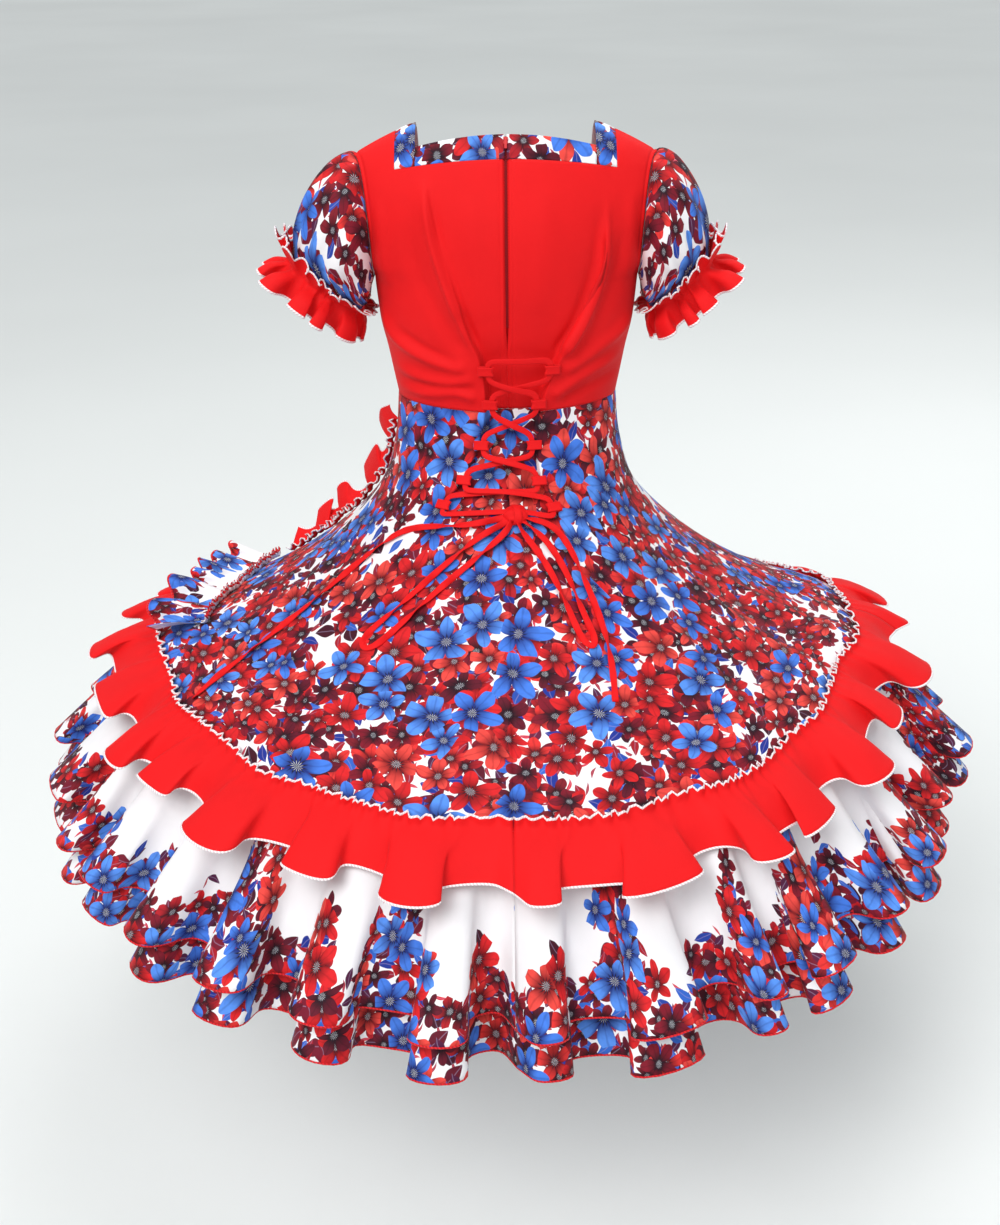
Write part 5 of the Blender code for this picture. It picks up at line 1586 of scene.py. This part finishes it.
def laceLoop(side, number, height):
    start, towards, up, out = loopFrame(side, height)
    half = loopThickness / 2
    angle = np.linspace(0.0, 2 * np.pi, loopLook["segments"] + 1)[:, None]
    tall = np.linspace(-0.5, 0.5, loopLook["tall"] + 1)[None, :] * loopWidth
    pinch = 1.0 - loopLook["pinch"] * np.cos(np.pi * tall / loopWidth)
    across = np.cos(angle) * half + np.where(np.cos(angle) > 1e-9, loopLength - 2 * half, 0.0)
    across = across + 0 * tall
    thick = np.sin(angle) * half * mix(1.0, pinch, 0.6)
    dip = loopLook["endDip"] * np.cos(2 * np.pi * tall / loopWidth)
    across = across - dip * (across > half)
    points = (start + towards * across[..., None] + out * thick[..., None]
              + up * (tall + 0 * across)[..., None])
    name = "lace_loop_{}_{}".format(sideNames[side], number)
    mesh = gridMesh(name + "_cloth", points, arcUv(points), closed=True, capped=False)
    piece = addPiece(name + "_cloth", mesh, ["tape"])
    addShell(piece, loopLook["wall"])
    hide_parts(name)


def laceStops():
    climb = [(left, 4), (right, 3), (left, 2), (right, 1), (left, 0)]
    stops = [(side, level, 1) for side, level in climb]
    return stops + [(-side, level, -1) for side, level in reversed(climb)]


def laceGate(side, level, climbing):
    start, towards, up, out = loopFrame(side, loopHeights[level])
    middle = start + towards * laceReach
    straight = up * (loopWidth / 2 + laceClearance) * climbing
    return middle - straight, middle + straight, out


def laceTurn(gate, otherGate, beyond):
    return gate + (unit(gate - otherGate) + unit(beyond - gate)) * laceBend


def lacePath():
    knotMiddle, knotOut = knotFrame()
    ends = [knotMiddle + np.array([side * lacing["endReach"], 0.0, lacing["endRise"]])
            for side in (left, right)]
    stops = laceStops()
    entry, leaving, out = laceGate(*stops[0])
    points, outs = [ends[0], laceTurn(entry, leaving, ends[0])], [knotOut, out]
    for number, (side, level, climbing) in enumerate(stops):
        entry, leaving, out = laceGate(side, level, climbing)
        points += [entry, leaving]
        outs += [out, out]
        if number == len(stops) - 1:
            points += [laceTurn(leaving, entry, ends[1]), ends[1]]
            outs += [out, knotOut]
            continue
        nextSide, nextLevel, nextClimbing = stops[number + 1]
        arrival, nextLeaving, nextOut = laceGate(nextSide, nextLevel, nextClimbing)
        lifted = (min(level, nextLevel) % 2 == 0) == (climbing == 1)
        between = (leaving + arrival) / 2
        under, middleOut, _ = backFrame(between[0], between[2])
        clear = (between - under) @ middleOut
        between = between + middleOut * max(laceLift - clear, 0.0)
        if lifted:
            between = between + middleOut * crossingLift
        if level == nextLevel:
            between[2] += topBarRise
        points += [laceTurn(leaving, entry, between), between,
                   laceTurn(arrival, nextLeaving, between)]
        outs += [out, middleOut, nextOut]
    return np.array(points), np.array(outs)


lacing = {"width": 0.0084, "declaredWidth": 0.0100, "thickness": 0.0014, "segments": 12,
          "pointSpacing": 0.003, "smoothing": 6, "endReach": 0.0084, "endRise": 0.00475,
          "narrowing": 0.18, "narrowings": 23.0}


def makeLace():
    points, outs = lacePath()
    path = softened(evenPath(points, lacing["pointSpacing"]), lacing["smoothing"])
    nearest = [np.argmin(np.linalg.norm(points - stop, axis=1)) for stop in path]
    across, out = tapeFrame(path, unit(softened(outs[nearest], lacing["smoothing"])))
    places = np.linspace(0, lacing["narrowings"], len(path))
    narrow = 1.0 - lacing["narrowing"] * np.abs(np.sin(places))
    mesh = tubeMesh("lace_tape", path, across, out, lacing["width"] / 2 * narrow,
                    lacing["thickness"] / 2, lacing["segments"], 0.6)
    piece = addPiece("lace_tape", mesh, ["tape"])
    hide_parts("lace")


knot = {"size": (0.0150, 0.0086, 0.0125), "square": 0.62, "wraps": 0.10, "lobes": 0.05,
        "bandHalf": 0.0050, "bandThickness": 0.0011, "bandSlant": 0.0034,
        "bandOut": 1.10, "bandUp": 1.06}


def makeKnot():
    # The knot: a plump body of wrapped tape with a band across it
    centre, out = knotFrame()
    across = np.array([1.0, 0.0, 0.0])
    across = unit(across - out * (across @ out))
    up = np.cross(across, out)
    turn = np.linspace(0.0, 2 * np.pi, 41)[:, None]
    rise = np.linspace(-np.pi / 2, np.pi / 2, 25)[None, :]
    wraps = (1.0 + knot["wraps"] * np.sin(5 * rise + 2.2 * np.sin(turn))
             + knot["lobes"] * np.sin(3 * turn))
    ring = np.maximum(np.cos(rise), 0.0) ** knot["square"]
    local = np.stack(np.broadcast_arrays(
        knot["size"][0] * ring * np.cos(turn) * wraps,
        knot["size"][1] * ring * np.sin(turn) * wraps,
        knot["size"][2] * np.sin(rise) * (1.0 + 0.12 * np.cos(turn))), -1)
    points = centre + out * local[..., 1:2] + across * local[..., 0:1] + up * local[..., 2:3]
    mesh = gridMesh("bow_knot_cloth", points, arcUv(points), closed=True)
    piece = addPiece("bow_knot_cloth", mesh, ["tape"])
    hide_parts("bow_knot")
    turn = np.linspace(0.0, 2 * np.pi, 49)
    path = (centre + out * (knot["size"][1] * knot["bandOut"] * np.sin(turn))[:, None]
            + up * (knot["size"][2] * knot["bandUp"] * np.cos(turn))[:, None]
            + across * (knot["bandSlant"] * np.sin(turn + 0.6))[:, None])
    mesh = tubeMesh("bow_knot_band", path, np.broadcast_to(across, path.shape),
                    unit(path - centre), knot["bandHalf"], knot["bandThickness"], 10, 0.7)
    addPiece("bow_knot_band", mesh, ["tape"], piece)


for wearerSide in (left, right):
    for level, loopHeight in enumerate(loopHeights):
        laceLoop(wearerSide, level + 1, loopHeight)
makeLace()
makeKnot()
print("lacing made")


# Zip

zipLook = {"toothSize": (0.0030, 0.0012, 0.0011), "low": 3.2, "high": 8.60, "teeth": 130,
           "stagger": 0.0009, "behind": 0.0034, "bevel": 0.0004, "fineBevel": 0.0002,
           "pullBevel": 0.0003, "gripSize": (0.62, 1.35, 0.34), "gripPlace": 0.70,
           "tapeHalf": 0.0080, "tapeBehind": 0.0046, "tapeTop": 8.86, "tapePoints": 60,
           "tapeThickness": 0.0006}


def zipFrame(step):
    low = torsoPoints(back, 0.0, step - zipReach)
    high = torsoPoints(back, 0.0, min(step + zipReach, 8.9))
    up = unit(high - low)
    return torsoPoints(back, 0.0, step), np.cross(np.array([1.0, 0.0, 0.0]), up), up


def bevelledBlock(maker, size, middle, turn, bevel):
    made = bmesh.ops.create_cube(maker, size=1.0)
    corners = made["verts"]
    bmesh.ops.scale(maker, vec=size, verts=corners)
    edges = list({edge for corner in corners for edge in corner.link_edges})
    result = bmesh.ops.bevel(maker, geom=edges, offset=bevel, offset_type="OFFSET", segments=2,
                             profile=0.5, affect="EDGES", material=-1)
    fresh = list({corner for face in result["faces"] for corner in face.verts})
    whole = set(fresh)
    for corner in fresh:
        whole.update(edge.other_vert(corner) for edge in corner.link_edges)
    matrix = Matrix(turn).transposed()
    for corner in whole:
        corner.co = matrix @ corner.co + Vector(middle)


def zipCoil():
    maker = bmesh.new()
    steps = np.linspace(zipLook["low"], zipLook["high"], zipLook["teeth"])
    for index, step in enumerate(steps):
        anchor, out, up = zipFrame(step)
        middle = anchor - out * zipLook["behind"]
        middle = middle + np.array([zipLook["stagger"] * (-1) ** index, 0.0, 0.0])
        bevelledBlock(maker, zipLook["toothSize"], middle, ((1, 0, 0), tuple(-out), tuple(up)),
                      zipLook["fineBevel"])
    mesh = finished(maker, "zip_coil")
    mesh.shade_smooth()
    return addPiece("zip_coil", mesh, ["zipCoil"])


def zipTape():
    # The tape that the coil is woven to, which closes the slit from inside
    centres, outs = [], []
    for step in np.linspace(zipLook["low"], zipLook["tapeTop"], zipLook["tapePoints"]):
        anchor, out, _ = zipFrame(step)
        centres.append(anchor - out * zipLook["tapeBehind"])
        outs.append(out)
    outs = np.array(outs)
    across = np.broadcast_to(np.array([1.0, 0.0, 0.0]), outs.shape)
    mesh = tubeMesh("zip_tape", np.array(centres), across, outs, zipLook["tapeHalf"],
                    zipLook["tapeThickness"] / 2, 12, 0.5)
    return addPiece("zip_tape", mesh, ["zipCoil"])


def zipPieces():
    anchor, out, up = zipFrame(zipStep)
    barOut = sliderSize[1] + pullClearance + pullBarRadius
    hinge = anchor + out * (seamGap + barOut)
    turn = ((1, 0, 0), tuple(-out), tuple(up))
    maker = bmesh.new()
    drop = sliderRise - sliderSize[2] / 2
    bevelledBlock(maker, sliderSize, hinge - out * (barOut - sliderSize[1] / 2) + up * drop, turn,
                  zipLook["bevel"])
    for side in (left, right):
        offset = np.array([side * (sliderSize[0] - cheekSize[0]) / 2, 0.0, 0.0])
        bevelledBlock(maker, cheekSize, hinge + offset - out * cheekDepth, turn,
                      zipLook["fineBevel"])
    slider = addPiece("zip_slider_metal", finished(maker, "zip_slider_metal"), ["zipPaint"])
    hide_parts("zip_slider")
    maker = bmesh.new()
    inner = sliderSize[0] - 2 * cheekSize[0] - 2 * seamGap
    pullSize = (inner, pullThickness, pullLength)
    bevelledBlock(maker, pullSize, hinge - up * pullLength / 2, turn, zipLook["pullBevel"])
    gripSize = tuple(size * share for size, share in zip(pullSize, zipLook["gripSize"]))
    bevelledBlock(maker, gripSize, hinge - up * pullLength * zipLook["gripPlace"], turn,
                  zipLook["pullBevel"])
    pull = addPiece("zip_pull_metal", finished(maker, "zip_pull_metal"), ["zipPaint"],
                    body="zip_pull")
    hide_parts("zip_pull")


zipCoil()
zipTape()
zipPieces()
print("zip made")
